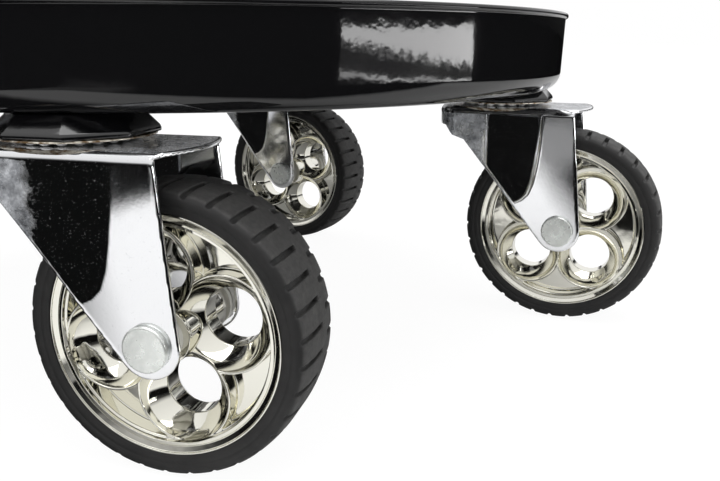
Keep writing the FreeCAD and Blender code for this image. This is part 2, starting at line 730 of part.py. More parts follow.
def make_column_tube():
    base_top = COLUMN_BOTTOM_Z + COLUMN_BASE_T
    low_r = column_outer_r(COLUMN_BOTTOM_Z)
    return spun([
        (ROD_R + RUN_CLEAR, COLUMN_BOTTOM_Z),
        (low_r, COLUMN_BOTTOM_Z),
        (COLUMN_R, SOCKET_TOP_Z),
        (COLUMN_R, COLUMN_TOP_Z),
        (COLUMN_R - COLUMN_WALL, COLUMN_TOP_Z),
        (COLUMN_R - COLUMN_WALL, SOCKET_TOP_Z),
        (column_outer_r(base_top) - COLUMN_WALL, base_top),
        (ROD_R + RUN_CLEAR, base_top),
    ])


def make_column_bushing():
    inner = TUBE_R + RUN_CLEAR
    return spun([
        (inner, COLUMN_TOP_Z - BUSHING_GRIP),
        (COLUMN_R - COLUMN_WALL, COLUMN_TOP_Z - BUSHING_GRIP),
        (COLUMN_R - COLUMN_WALL, COLUMN_TOP_Z),
        (COLUMN_R, COLUMN_TOP_Z),
        (COLUMN_R, COLUMN_TOP_Z + BUSHING_LIP_T / 2),
        (COLUMN_R - BUSHING_LIP_T, COLUMN_TOP_Z + BUSHING_LIP_T),
        (inner, COLUMN_TOP_Z + BUSHING_LIP_T),
    ])


def make_thrust_bearing():
    inner = ROD_R + RUN_CLEAR
    low = sleeve(inner, THRUST_R, THRUST_Z, THRUST_Z + THRUST_WASHER_T)
    high = moved(low, 0, 0, THRUST_H - THRUST_WASHER_T)
    ball = moved(Part.makeSphere(THRUST_BALL_R), 0, 0, THRUST_Z + THRUST_H / 2)
    return [low, high] + ring_of(ball, THRUST_BALLS, THRUST_BALL_RING_R)


def clip_levels():
    top = COLUMN_BOTTOM_Z - SIDE_CLEAR
    return top - CLIP_T, top


def make_piston_rod():
    clip_low, clip_top = clip_levels()
    groove_r = ROD_R - ROD_GROOVE_DEPTH
    piston_r = TUBE_IN_R - PISTON_CLEAR
    return spun([
        (0, clip_low - ROD_END),
        (ROD_R, clip_low - ROD_END),
        (ROD_R, clip_low),
        (groove_r, clip_low),
        (groove_r, clip_top),
        (ROD_R, clip_top),
        (ROD_R, COLLAR_Z),
        (ROD_COLLAR_R, COLLAR_Z),
        (ROD_COLLAR_R, BUMPER_Z),
        (ROD_R, BUMPER_Z),
        (ROD_R, PISTON_Z),
        (piston_r, PISTON_Z),
        (piston_r, PISTON_Z + PISTON_H),
        (0, PISTON_Z + PISTON_H),
    ])


def make_rod_clip():
    low, top = clip_levels()
    ring = sleeve(ROD_R - ROD_GROOVE_DEPTH, CLIP_R, low, top)
    half = math.radians(CLIP_GAP_DEG / 2)
    reach = CLIP_R + PAST
    mouth = prism([(0, 0), (reach, -reach * math.tan(half)), (reach, reach * math.tan(half))],
                  low - PAST, top + PAST)
    return ring.cut(mouth)


def make_rod_bumper():
    return sleeve(ROD_R, BUMPER_R, BUMPER_Z, BUMPER_Z + BUMPER_H)


def tube_outer_r(z):
    """Radius of the pressure tube, which tapers where the seat plate sits on it."""
    start = TUBE_TOP_Z - TUBE_TAPER_H
    return TUBE_R - TUBE_TAPER * max(0, z - start) / TUBE_TAPER_H


def make_pressure_tube():
    cavity_top = TUBE_TOP_Z - TUBE_CAP_T
    bore = BUTTON_R + RUN_CLEAR
    bore_low = BUTTON_TOP_Z - BUTTON_LENGTH - BUTTON_TRAVEL_ROOM
    tube = spun([
        (0, cavity_top),
        (TUBE_IN_R, cavity_top),
        (TUBE_IN_R, TUBE_BOTTOM_Z),
        (TUBE_R, TUBE_BOTTOM_Z),
        (TUBE_R, TUBE_TOP_Z - TUBE_TAPER_H),
        (tube_outer_r(TUBE_TOP_Z), TUBE_TOP_Z),
        (0, TUBE_TOP_Z),
    ])
    return tube.cut(rod(bore, bore_low, TUBE_TOP_Z + PAST))


def make_rod_seal():
    return sleeve(ROD_R + RUN_CLEAR, TUBE_IN_R, TUBE_BOTTOM_Z, TUBE_BOTTOM_Z + SEAL_H)


def make_valve_button():
    return rod(BUTTON_R, BUTTON_TOP_Z - BUTTON_LENGTH, BUTTON_TOP_Z)


# The seat plate, the release lever and the seat

def rounded_slab(half_x, half_y, corner, low, high):
    slab = block(-half_x, half_x, -half_y, half_y, low, high)
    uprights = [e for e in slab.Edges if e.BoundBox.ZLength > (high - low) / 2]
    return slab.makeFillet(corner, uprights)


def seat_bolt_spots():
    return [(sx * SEAT_BOLT_HALF, sy * SEAT_BOLT_HALF) for sx in (-1, 1) for sy in (-1, 1)]


def make_seat_plate():
    """Pressed plate: a flange under the board, a sunk box and a taper hub below it."""
    box_low = BOX_FLOOR_Z - PLATE_T
    flange = rounded_slab(PLATE_HALF, PLATE_HALF, PLATE_CORNER_R, PLATE_TOP_Z - PLATE_T, PLATE_TOP_Z)
    box_corner = 3 * PLATE_T
    box = rounded_slab(PLATE_BOX_HALF_X, PLATE_BOX_HALF_Y, box_corner, box_low, PLATE_TOP_Z)
    hollow = rounded_slab(PLATE_BOX_HALF_X - PLATE_T, PLATE_BOX_HALF_Y - PLATE_T,
                          box_corner - PLATE_T, BOX_FLOOR_Z, PLATE_TOP_Z + PAST)
    hub_low = box_low - HUB_H
    hub = rod(TUBE_R + HUB_WALL, hub_low, box_low)
    plate = joined([flange, box, hub]).cut(hollow)
    fit = COLUMN_FIT
    start = TUBE_TOP_Z - TUBE_TAPER_H
    bore = spun([
        (0, hub_low - PAST),
        (TUBE_R + fit, hub_low - PAST),
        (TUBE_R + fit, max(start, hub_low - PAST / 2)),
        (tube_outer_r(TUBE_TOP_Z) + fit, TUBE_TOP_Z),
        (0, TUBE_TOP_Z),
    ])
    slot = block(PLATE_BOX_HALF_X - PLATE_T - PAST, PLATE_BOX_HALF_X + PAST,
                 -LEVER_SLOT_HALF_W, LEVER_SLOT_HALF_W,
                 BOX_FLOOR_Z + PLATE_T, BOX_FLOOR_Z + PLATE_T + LEVER_SLOT_H)
    end = PLATE_BOX_HALF_Y + PAST
    cuts = [bore, slot, cross_rod(PIN_R, -end, end, LEVER_ARM, PIVOT_Z)]
    for x, y in seat_bolt_spots():
        cuts.append(rod(SEAT_BOLT_R + HOLE_CLEAR, PLATE_TOP_Z - PLATE_T - PAST,
                        PLATE_TOP_Z + PAST, x, y))
    return plate.cut(cuts)


def make_lever_pin():
    end = PLATE_BOX_HALF_Y
    shank = cross_rod(PIN_R, -end, end, LEVER_ARM, PIVOT_Z)
    near = cross_rod(PIN_HEAD_R, -end - PIN_HEAD_T, -end, LEVER_ARM, PIVOT_Z)
    far = cross_rod(PIN_HEAD_R, end, end + PIN_HEAD_T, LEVER_ARM, PIVOT_Z)
    return joined([shank, near, far])


def lever_path():
    """Middle line of the round rod: out of the box, down, and out under the seat."""
    start_x = LEVER_ARM + LEVER_EYE_R
    first_x = PLATE_BOX_HALF_X + LEVER_BEND_R
    second_x = first_x + LEVER_BEND_RUN
    low_z = PIVOT_Z - LEVER_DROP
    corners = [(start_x, PIVOT_Z), (first_x, PIVOT_Z), (second_x, low_z), (LEVER_REACH, low_z)]
    slope = math.atan2(LEVER_DROP, LEVER_BEND_RUN)
    cut = LEVER_BEND_R * math.tan(slope / 2)
    ux, uz = math.cos(slope), -math.sin(slope)
    half_x, half_z = math.sin(slope / 2), math.cos(slope / 2)
    edges = []
    x1, z1 = corners[1]
    x2, z2 = corners[2]
    a = (x1 - cut, 0, z1)
    b = (x1 + ux * cut, 0, z1 + uz * cut)
    c = (x2 - ux * cut, 0, z2 - uz * cut)
    d = (x2 + cut, 0, z2)
    mid_ab = (a[0] + LEVER_BEND_R * half_x, 0, z1 - LEVER_BEND_R * (1 - half_z))
    mid_cd = (d[0] - LEVER_BEND_R * half_x, 0, z2 + LEVER_BEND_R * (1 - half_z))
    edges.append(line((corners[0][0], 0, corners[0][1]), a))
    edges.append(arc(a, mid_ab, b))
    edges.append(line(b, c))
    edges.append(arc(c, mid_cd, d))
    edges.append(line(d, (corners[3][0], 0, corners[3][1])))
    return Part.Wire(edges)


def make_release_lever():
    """Flat inner arm with a nub over the valve button, a pivot eye and a round rod."""
    bar = block(-LEVER_NUB_R, LEVER_ARM + LEVER_EYE_R + LEVER_ROD_R, -LEVER_BAR_HALF_W, LEVER_BAR_HALF_W,
                PIVOT_Z - LEVER_NUB_R / 2, PIVOT_Z - LEVER_NUB_R / 2 + LEVER_BAR_T)
    nub = cross_rod(LEVER_NUB_R, -LEVER_BAR_HALF_W, LEVER_BAR_HALF_W, 0, PIVOT_Z)
    eye = cross_rod(LEVER_EYE_R, -LEVER_BAR_HALF_W, LEVER_BAR_HALF_W, LEVER_ARM, PIVOT_Z)
    path = lever_path()
    section = Part.Wire([Part.Circle(path.Vertexes[0].Point, X_DIR, LEVER_ROD_R).toShape()])
    bent = path.makePipeShell([section], True, True)
    end = LEVER_BAR_HALF_W + PAST
    lever = joined([bar, nub, eye, bent])
    return lever.cut(cross_rod(PIN_R + RUN_CLEAR, -end, end, LEVER_ARM, PIVOT_Z))


def make_lever_grip():
    low = LEVER_REACH - GRIP_LENGTH
    z = PIVOT_Z - LEVER_DROP
    grip = Part.makeCylinder(GRIP_R, GRIP_LENGTH + GRIP_END, vec(low, 0, z), X_DIR)
    ends = [e for e in grip.Edges if e.BoundBox.XLength < RUN_CLEAR]
    grip = grip.makeFillet(GRIP_R / 3, ends)
    hole = Part.makeCylinder(LEVER_ROD_R, GRIP_LENGTH + PAST, vec(low - PAST, 0, z), X_DIR)
    return grip.cut(hole)


def make_seat_bolts():
    under = PLATE_TOP_Z - PLATE_T
    end = BOARD_TOP_Z - TNUT_FLANGE_T
    bolt = joined([hexagon(SEAT_BOLT_AF, under - SEAT_BOLT_HEAD_H, under), rod(SEAT_BOLT_R, under, end)])
    return [moved(bolt, x, y, 0) for x, y in seat_bolt_spots()]


def make_t_nuts():
    low = PLATE_TOP_Z + TNUT_FLANGE_T
    barrel = rod(TNUT_R, low, BOARD_TOP_Z)
    flange = rod(TNUT_FLANGE_R, BOARD_TOP_Z - TNUT_FLANGE_T, BOARD_TOP_Z)
    nut = joined([barrel, flange]).cut(rod(SEAT_BOLT_R, low - PAST, BOARD_TOP_Z + PAST))
    return [moved(nut, x, y, 0) for x, y in seat_bolt_spots()]


def make_seat_board():
    board = rod(BOARD_R, PLATE_TOP_Z, BOARD_TOP_Z)
    cuts = []
    for x, y in seat_bolt_spots():
        cuts.append(rod(TNUT_R, PLATE_TOP_Z - PAST, BOARD_TOP_Z, x, y))
        cuts.append(rod(TNUT_FLANGE_R, BOARD_TOP_Z - TNUT_FLANGE_T, BOARD_TOP_Z + PAST, x, y))
    return board.cut(cuts)


def seam_ring():
    """Radius and height of the seam where the top panel meets the side band."""
    return CUSHION_R - CUSHION_NECK, BOARD_TOP_Z + CUSHION_H - CUSHION_CROWN


def arc_leaving(start, slope, end):
    """Arc in the XZ plane from start, falling away at a slope, to end."""
    nx, nz = -math.sin(slope), -math.cos(slope)
    dx, dz = end[0] - start[0], end[1] - start[1]
    radius = (dx ** 2 + dz ** 2) / (2 * (nx * dx + nz * dz))
    cx, cz = start[0] + nx * radius, start[1] + nz * radius
    mx, mz = (start[0] + end[0]) / 2 - cx, (start[1] + end[1]) / 2 - cz
    size = radius / math.hypot(mx, mz)
    return arc((start[0], 0, start[1]), (cx + mx * size, 0, cz + mz * size), (end[0], 0, end[1]))


def cushion_form(inset):
    """Padded round seat: domed top, swelling side, drawn round the board's edge.

    An inset of nothing is the cover's outside, the cover's thickness is the foam.
    """
    seam_r, seam_z = seam_ring()
    out_seam_r = seam_r - inset
    out_seam_z = seam_z - inset
    top_z = BOARD_TOP_Z + CUSHION_H - inset
    low_z = PLATE_TOP_Z + inset
    neck_r = CUSHION_R - CUSHION_NECK - inset
    in_r = BOARD_R + CUSHION_CLEAR
    bottom = BOARD_TOP_Z + CUSHION_CLEAR
    e = CUSHION_EDGE_R - inset
    half = math.sqrt(0.5)
    swell = (CUSHION_R - inset, 0, (low_z + e + out_seam_z) / 2)
    dome_r = out_seam_r * DOME_R_SHARE
    dome_drop = CUSHION_CROWN * DOME_DROP_SHARE
    dome_slope = 2 * math.atan2(dome_drop, dome_r)
    dome_round = dome_r / math.sin(dome_slope)
    dome_mid = (dome_round * math.sin(dome_slope / 2), 0,
                top_z - dome_round * (1 - math.cos(dome_slope / 2)))
    return spun_edges([
        line((in_r, 0, low_z), (neck_r - e, 0, low_z)),
        arc((neck_r - e, 0, low_z), (neck_r - e + e * half, 0, low_z + e - e * half),
            (neck_r, 0, low_z + e)),
        arc((neck_r, 0, low_z + e), swell, (out_seam_r, 0, out_seam_z)),
        arc_leaving((dome_r, top_z - dome_drop), dome_slope, (out_seam_r, out_seam_z)),
        arc((dome_r, 0, top_z - dome_drop), dome_mid, (0, 0, top_z)),
        line((0, 0, top_z), (0, 0, bottom)),
        line((0, 0, bottom), (in_r, 0, bottom)),
        line((in_r, 0, bottom), (in_r, 0, low_z)),
    ])


def piping_groove():
    seam_r, seam_z = seam_ring()
    return Part.makeTorus(seam_r, PIPING_R + CUSHION_CLEAR / 3, vec(0, 0, seam_z))


def make_seat_foam():
    return cushion_form(COVER_T).cut(piping_groove())


def make_seat_cover():
    """Top panel and side band, two pieces that meet at the piping."""
    return cushion_form(0).cut([cushion_form(COVER_T), piping_groove()]).Solids


def make_seat_piping():
    seam_r, seam_z = seam_ring()
    return Part.makeTorus(seam_r, PIPING_R, vec(0, 0, seam_z))


# Writing the pieces

def write(name, pieces):
    """One file per piece, or per set of like pieces."""
    shape = Part.makeCompound(pieces) if isinstance(pieces, list) else pieces
    solids = shape.Solids
    out = solids[0] if len(solids) == 1 else Part.makeCompound(solids)
    out.exportStep(os.path.join("parts", name + ".step"))


def write_casters():
    tyre, rim, bush = make_tyre(), make_rim(), make_hub_bush()
    fork, axle, spacer = make_fork(), make_axle(), make_axle_sleeve()
    cup, bearing = make_swivel_cup(), make_swivel_bearing()
    for name, x, y, heading, wheel_turn, cup_turn in caster_spots():

        def put(shape):
            return moved(turned(shape, heading), x, y, 0)

        for piece, shape in (("tyre", tyre), ("wheel_rim", rim), ("hub_bush", bush)):
            write(name + "_" + piece, put(stood(turned(shape, wheel_turn))))
        for piece, shape in (("fork", fork), ("axle", axle), ("axle_sleeve", spacer)):
            write(name + "_" + piece, put(shape))
        write(name + "_swivel_cup", moved(turned(cup, cup_turn), x, y, 0))
        write(name + "_swivel_bearing", [moved(solid, x, y, 0) for solid in bearing])


def write_caster_fasteners():
    stem, washer = make_stem(), make_caster_washer()
    low = PAD_TOP_Z + CASTER_WASHER_T
    nut = bevelled_nut(CASTER_NUT_AF, STEM_R, low, low + CASTER_NUT_H)
    for piece, shape in (("caster_stems", stem), ("caster_washers", washer), ("caster_nuts", nut)):
        write(piece, [moved(shape, x, y, 0) for _, x, y, *_ in caster_spots()])


def write_all():
    os.makedirs("parts", exist_ok=True)
    write_casters()
    write_caster_fasteners()
    write("tray", make_tray())
    write("column_socket", make_socket())
    write("socket_gussets", make_gussets())
    write("socket_bolts", make_socket_bolts())
    write("socket_nuts", make_socket_nuts())
    write("column_tube", make_column_tube())
    write("column_bushing", make_column_bushing())
    write("thrust_bearing", make_thrust_bearing())
    write("piston_rod", make_piston_rod())
    write("rod_clip", make_rod_clip())
    write("rod_bumper", make_rod_bumper())
    write("pressure_tube", make_pressure_tube())
    write("rod_seal", make_rod_seal())
    write("valve_button", make_valve_button())
    write("seat_plate", make_seat_plate())
    write("lever_pin", make_lever_pin())
    write("release_lever", make_release_lever())
    write("lever_grip", make_lever_grip())
    write("seat_bolts", make_seat_bolts())
    write("t_nuts", make_t_nuts())
    write("seat_board", make_seat_board())
    write("seat_foam", make_seat_foam())
    write("seat_cover", make_seat_cover())
    write("seat_piping", make_seat_piping())


write_all()
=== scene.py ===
import bpy
import bmesh
import json
import math
import numpy as np
from mathutils import Matrix, Vector


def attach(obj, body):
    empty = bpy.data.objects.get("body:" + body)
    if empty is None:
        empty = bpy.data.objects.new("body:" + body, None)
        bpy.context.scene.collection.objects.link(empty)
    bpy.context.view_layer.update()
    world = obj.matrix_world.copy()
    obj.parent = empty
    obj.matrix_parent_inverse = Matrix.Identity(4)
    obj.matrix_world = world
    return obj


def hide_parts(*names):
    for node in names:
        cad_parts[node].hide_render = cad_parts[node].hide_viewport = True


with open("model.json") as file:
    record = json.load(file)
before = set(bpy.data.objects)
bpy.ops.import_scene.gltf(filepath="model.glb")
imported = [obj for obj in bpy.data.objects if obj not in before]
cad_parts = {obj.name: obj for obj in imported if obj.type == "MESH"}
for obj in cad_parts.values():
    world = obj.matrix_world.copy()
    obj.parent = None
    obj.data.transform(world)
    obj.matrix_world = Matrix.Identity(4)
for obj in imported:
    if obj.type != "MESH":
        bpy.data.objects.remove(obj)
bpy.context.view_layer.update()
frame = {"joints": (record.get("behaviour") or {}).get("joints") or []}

MM = 0.001
TURN = 2 * math.pi
WHITE = (1.0, 1.0, 1.0, 1.0)
CASTERS = ("front", "right", "rear", "left")

# Camera: low beside the front caster, looking under the tray to the caster on the
# right and the one at the back. Its place comes from the outlines of the wheels.
CAMERA_AT = (0.137313, -0.521090, 0.183504)
CAMERA_LOOKS = (-0.050958, 0.975721, -0.213006)
CAMERA_UP = (-0.014825, 0.212521, 0.977044)
FOCAL_PX = 751.54
PHOTO_W = 720.0


def placed(name, data):
    """A new object in the scene."""
    made = bpy.data.objects.new(name, data)
    bpy.context.scene.collection.objects.link(made)
    return made


camera = placed("camera", bpy.data.cameras.new("camera"))
behind = -Vector(CAMERA_LOOKS).normalized()
right = Vector(CAMERA_UP).cross(behind).normalized()
axes = Matrix((right, behind.cross(right), behind)).transposed()
camera.matrix_world = Matrix.Translation(CAMERA_AT) @ axes.to_4x4()
camera.data.sensor_width = 36.0
camera.data.lens = FOCAL_PX * camera.data.sensor_width / PHOTO_W
camera.data.shift_x = 0.0002
camera.data.shift_y = -0.0496
camera.data.clip_start = 0.01
camera.data.clip_end = 200.0
bpy.context.scene.camera = camera
bpy.context.scene.view_settings.view_transform = "Standard"


# Studio: a pale floor, a dim room towards the camera and a white one behind the
# object, a broad softbox overhead and a low bright card far to the right.
def nodes_of(owner):
    owner.use_nodes = True
    owner.node_tree.nodes.clear()
    return owner.node_tree


def link(tree, value, socket):
    """Fills a socket from another one or with an even value, or leaves it as it is."""
    if isinstance(value, bpy.types.NodeSocket):
        tree.links.new(value, socket)
    elif value is not None:
        socket.default_value = value


def node(tree, kind, *values, named=(), **settings):
    """One node. Values fill its inputs in order, and the named ones by name."""
    made = tree.nodes.new(kind)
    for name, value in settings.items():
        setattr(made, name, value)
    for socket, value in zip(made.inputs, values):
        link(tree, value, socket)
    for name, value in dict(named).items():
        link(tree, value, made.inputs[name])
    return made


def math_node(tree, operation, *values):
    return node(tree, "ShaderNodeMath", *values, operation=operation).outputs[0]


def product(tree, first, *others):
    for other in others:
        first = math_node(tree, "MULTIPLY", first, other)
    return first


def mixed(tree, share, low, high):
    """Mix of two colours."""
    made = node(tree, "ShaderNodeMix", share, data_type="RGBA")
    link(tree, low, made.inputs[6])
    link(tree, high, made.inputs[7])
    return made.outputs[2]


def ramp(tree, value, *stops):
    """Colour ramp of (place, grey or colour) stops."""
    made = node(tree, "ShaderNodeValToRGB", value)
    elements = made.color_ramp.elements
    while len(elements) < len(stops):
        elements.new(0.5)
    for element, (place, tone) in zip(elements, stops):
        element.position = place
        element.color = (*tone, 1.0) if isinstance(tone, tuple) else (tone, tone, tone, 1.0)
    return made.outputs[0]


ROOM_DIFFUSE = 0.55
ROOM_BEHIND = (0.95, 0.95, 0.96, 1.0)
FLOOR_TONE = 0.90
FLOOR_SHADE_PAINT = 0.004
FLOOR_HALF = 40.0
FLOOR_SOFTNESS = 0.024
PAPER_GLOW = 1.08
PAPER_SHADE = 0.12
GREY_TONE = 0.26

world = bpy.data.worlds.new("studio")
bpy.context.scene.world = world
tree = nodes_of(world)
path = node(tree, "ShaderNodeLightPath")
view = node(tree, "ShaderNodeSeparateXYZ", node(tree, "ShaderNodeTexCoord").outputs["Generated"])
# The room as metal sees it: dark low down in front, white behind and overhead
behind = product(tree, ramp(tree, view.outputs["Y"], (0.10, 0.0), (0.60, 1.0)),
                 ramp(tree, view.outputs["Z"], (0.05, 0.0), (0.12, 1.0)))
height = ramp(tree, view.outputs["Z"], (0.0, 0.01), (0.12, 0.05), (0.30, 0.80), (0.8, 0.95))
seen = mixed(tree, behind, height, ROOM_BEHIND)
seen_light, fill_light, white_light = (
    node(tree, "ShaderNodeBackground", colour, strength).outputs[0]
    for colour, strength in ((seen, 1.0), (WHITE, ROOM_DIFFUSE), (WHITE, 1.0)))
lit = node(tree, "ShaderNodeMixShader", path.outputs["Is Glossy Ray"], fill_light, seen_light).outputs[0]
clear = math_node(tree, "MAXIMUM", path.outputs["Is Camera Ray"], path.outputs["Is Transmission Ray"])
sky = node(tree, "ShaderNodeMixShader", clear, lit, white_light)
node(tree, "ShaderNodeOutputWorld", sky.outputs[0])

floor = placed("floor", bpy.data.meshes.new("floor"))
corners = [(x * FLOOR_HALF, y * FLOOR_HALF, 0) for x, y in ((-1, -1), (1, -1), (1, 1), (-1, 1))]
floor.data.from_pydata(corners, [], [(0, 1, 2, 3)])
floor_paint = bpy.data.materials.new("floor_paint")
tree = nodes_of(floor_paint)
path = node(tree, "ShaderNodeLightPath")
place = node(tree, "ShaderNodeSeparateXYZ", node(tree, "ShaderNodeTexCoord").outputs["Object"])


def floor_edge(across, along, start, softness=FLOOR_SOFTNESS):
    """One straight edge of the part of the floor that metal sees lit."""
    x_part, y_part = product(tree, place.outputs["X"], across), product(tree, place.outputs["Y"], along)
    side = math_node(tree, "ADD", math_node(tree, "ADD", x_part, y_part), start)
    return node(tree, "ShaderNodeMapRange", side, -softness, softness, 0.0, 1.0).outputs[0]


# Painted shade: in reflections the floor is painted black outside the parts that metal sees lit, standing for the dark
# room and the camera's shadow. It is painted grey in one part further in front on the left, and the lit part is dimmed
# to 0.3 far in front.
left_edge = floor_edge(1.0, -0.057, 0.332, 0.03)
not_left = math_node(tree, "MAXIMUM", floor_edge(0.669, -0.743, -0.192), floor_edge(0.0, 1.0, 0.12))
not_front = math_node(tree, "MAXIMUM", floor_edge(-0.838, 0.545, 0.291), floor_edge(0.0, 1.0, 0.26))
dimmed = math_node(tree, "MAXIMUM", floor_edge(0.5, 1.0, 0.95, 0.09), 0.3)
white_part = product(tree, not_left, not_front, left_edge, floor_edge(-1.0, 0.0, 1.2), dimmed)
grey_part = product(tree, floor_edge(0.0, -1.0, -0.60, 0.06), floor_edge(0.0, 1.0, 1.4, 0.2),
                    floor_edge(-1.0, 0.0, -0.02, 0.05), left_edge, GREY_TONE)
lit_part = math_node(tree, "MAXIMUM", white_part, grey_part)
# painted shade: glossy rays see the floor painted black wherever it is not in a lit part
dark = product(tree, path.outputs["Is Glossy Ray"], math_node(tree, "SUBTRACT", 1.0, lit_part))
pale, black = (node(tree, "ShaderNodeBsdfDiffuse", (tone, tone, tone, 1.0)).outputs[0]
               for tone in (FLOOR_TONE, FLOOR_SHADE_PAINT))
paper = node(tree, "ShaderNodeEmission", WHITE, PAPER_GLOW).outputs[0]
faint = node(tree, "ShaderNodeMixShader", PAPER_SHADE, paper, pale).outputs[0]
clear = math_node(tree, "MAXIMUM", path.outputs["Is Camera Ray"], path.outputs["Is Transmission Ray"])
room = node(tree, "ShaderNodeMixShader", dark, pale, black).outputs[0]
node(tree, "ShaderNodeOutputMaterial", node(tree, "ShaderNodeMixShader", clear, room, faint).outputs[0])
floor.data.materials.append(floor_paint)


def softbox(name, at, aim, width, height, power, seen=True):
    lamp = placed(name, bpy.data.lights.new(name, "AREA"))
    lamp.data.shape = "RECTANGLE"
    lamp.data.size = width
    lamp.data.size_y = height
    lamp.data.energy = power
    lamp.location = at
    lamp.rotation_euler = (Vector(aim) - Vector(at)).to_track_quat("-Z", "Y").to_euler()
    lamp.visible_camera = False
    lamp.visible_glossy = seen
    return lamp


softbox("overhead", (0.1, -0.25, 1.75), (0.05, 0.0, 0.1), 2.0, 1.5, 22.0)
softbox("front_left", (-1.2, -1.6, 0.9), (0.0, 0.0, 0.15), 1.0, 0.8, 9.0, seen=False)
card = softbox("right_card", (0.86, -0.40, 0.1215), (0.1, -0.1, 0.1735), 0.66, 0.092, 1.38)
# The card is bright in its upper part, down to a ragged edge, and along its foot
tree = nodes_of(card.data)
surface_at = node(tree, "ShaderNodeNewGeometry").outputs
across = node(tree, "ShaderNodeSeparateXYZ", surface_at["Parametric"])
side, up = across.outputs["X"], across.outputs["Y"]
spot = node(tree, "ShaderNodeVectorMath", surface_at["Position"], (45.0, 45.0, 110.0), operation="MULTIPLY")
torn = node(tree, "ShaderNodeTexNoise", spot.outputs[0], named={"Scale": 1.0, "Detail": 5.0}).outputs["Fac"]
edge = math_node(tree, "MULTIPLY_ADD", side, 0.32, product(tree, up, 1.255))
edge = math_node(tree, "ADD", edge, product(tree, torn, 0.5))
upper = ramp(tree, edge, (0.88, 0.03), (1.01, 0.30), (1.10, 1.0))
foot = ramp(tree, up, (0.05, 1.0), (0.08, 0.0))
top = ramp(tree, math_node(tree, "MULTIPLY_ADD", side, -0.21, up), (0.77, 1.0), (0.80, 0.0))
glow = product(tree, math_node(tree, "MAXIMUM", upper, foot), top)
node(tree, "ShaderNodeOutputLight", node(tree, "ShaderNodeEmission", WHITE, glow).outputs[0])


# What the pieces share: materials, modifiers, geometry trees, the casters' places
def noise(tree, place, scale, detail=4.0, roughness=0.5):
    values = {"Vector": place, "Scale": scale, "Detail": detail, "Roughness": roughness}
    return node(tree, "ShaderNodeTexNoise", named=values).outputs["Fac"]


def bump(tree, height, distance, strength, below=None):
    values = {"Strength": strength, "Distance": distance, "Height": height, "Normal": below}
    return node(tree, "ShaderNodeBump", named=values).outputs[0]


def carried(tree, name):
    """A number that the mesh carries at its points."""
    return node(tree, "ShaderNodeAttribute", attribute_name=name).outputs["Fac"]


def surface(name, colour, roughness, metallic=0.0, tones=None, gloss=None, grain=(), **sockets):
    """Material with one Principled shader, its even values set on its own sockets.

    tones and gloss are (a noise's values, ramp stops) for the colour and the roughness.
    grain is bumps that lie one on another, each (a noise's values, distance, strength).
    """
    material = bpy.data.materials.new(name)
    tree = nodes_of(material)
    values = {"Base Color": (*colour, 1.0), "Roughness": roughness, "Metallic": metallic}
    values.update((label.replace("_", " "), value) for label, value in sockets.items())
    shader = node(tree, "ShaderNodeBsdfPrincipled", named=values)
    node(tree, "ShaderNodeOutputMaterial", shader.outputs[0])
    place = node(tree, "ShaderNodeTexCoord").outputs["Object"]
    for label, spread in (("Base Color", tones), ("Roughness", gloss)):
        if spread:
            link(tree, ramp(tree, noise(tree, place, *spread[0]), *spread[1:]), shader.inputs[label])
    height = None
    for values, distance, strength in grain:
        height = bump(tree, noise(tree, place, *values), distance, strength, height)
    link(tree, height, shader.inputs["Normal"])
    return material, tree, shader, place


def evaluated(piece):
    """Mesh of an object as its modifiers leave it."""
    return bpy.data.meshes.new_from_object(piece.evaluated_get(bpy.context.evaluated_depsgraph_get()))


def with_modifiers(mesh, *steps):
    """The mesh after modifiers, each given by kind and settings."""
    holder = placed("holder", mesh)
    for kind, settings in steps:
        modifier = holder.modifiers.new(kind.lower(), kind)
        for name, value in settings.items():
            setattr(modifier, name, value)
    result = evaluated(holder)
    bpy.data.objects.remove(holder)
    return result


def nodes_tree(name, **inputs):
    """Empty geometry tree with named inputs: the tree, its inputs and its end."""
    tree = bpy.data.node_groups.new(name, "GeometryNodeTree")
    tree.interface.new_socket("Geometry", in_out="INPUT", socket_type="NodeSocketGeometry")
    tree.interface.new_socket("Geometry", in_out="OUTPUT", socket_type="NodeSocketGeometry")
    for label, kind in (*inputs.items(), ("Finish", "Material")):
        tree.interface.new_socket(label, in_out="INPUT", socket_type="NodeSocket" + kind)
    return tree, tree.nodes.new("NodeGroupInput").outputs, tree.nodes.new("NodeGroupOutput")


def tree_ended(tree, given, result, geometry, kind="GeometryNodeSetShadeSmooth", **named):
    """Makes copies real, smooths or welds them and gives them their finish."""
    real = node(tree, "GeometryNodeRealizeInstances", geometry)
    last = node(tree, kind, real.outputs[0], named=named)
    finish = node(tree, "GeometryNodeSetMaterial", last.outputs[0], named={"Material": given["Finish"]})
    link(tree, finish.outputs[0], result.inputs[0])
    return tree


def grown(mesh, tree, **values):
    """Mesh that a geometry tree makes of another, its named inputs set by identifier."""
    holder = placed("holder", mesh)
    modifier = holder.modifiers.new("nodes", "NODES")
    modifier.node_group = tree
    for item in tree.interface.items_tree:
        if item.in_out == "INPUT" and item.name in values:
            modifier[item.identifier] = values[item.name]
    result = evaluated(holder)
    bpy.data.objects.remove(holder)
    return result


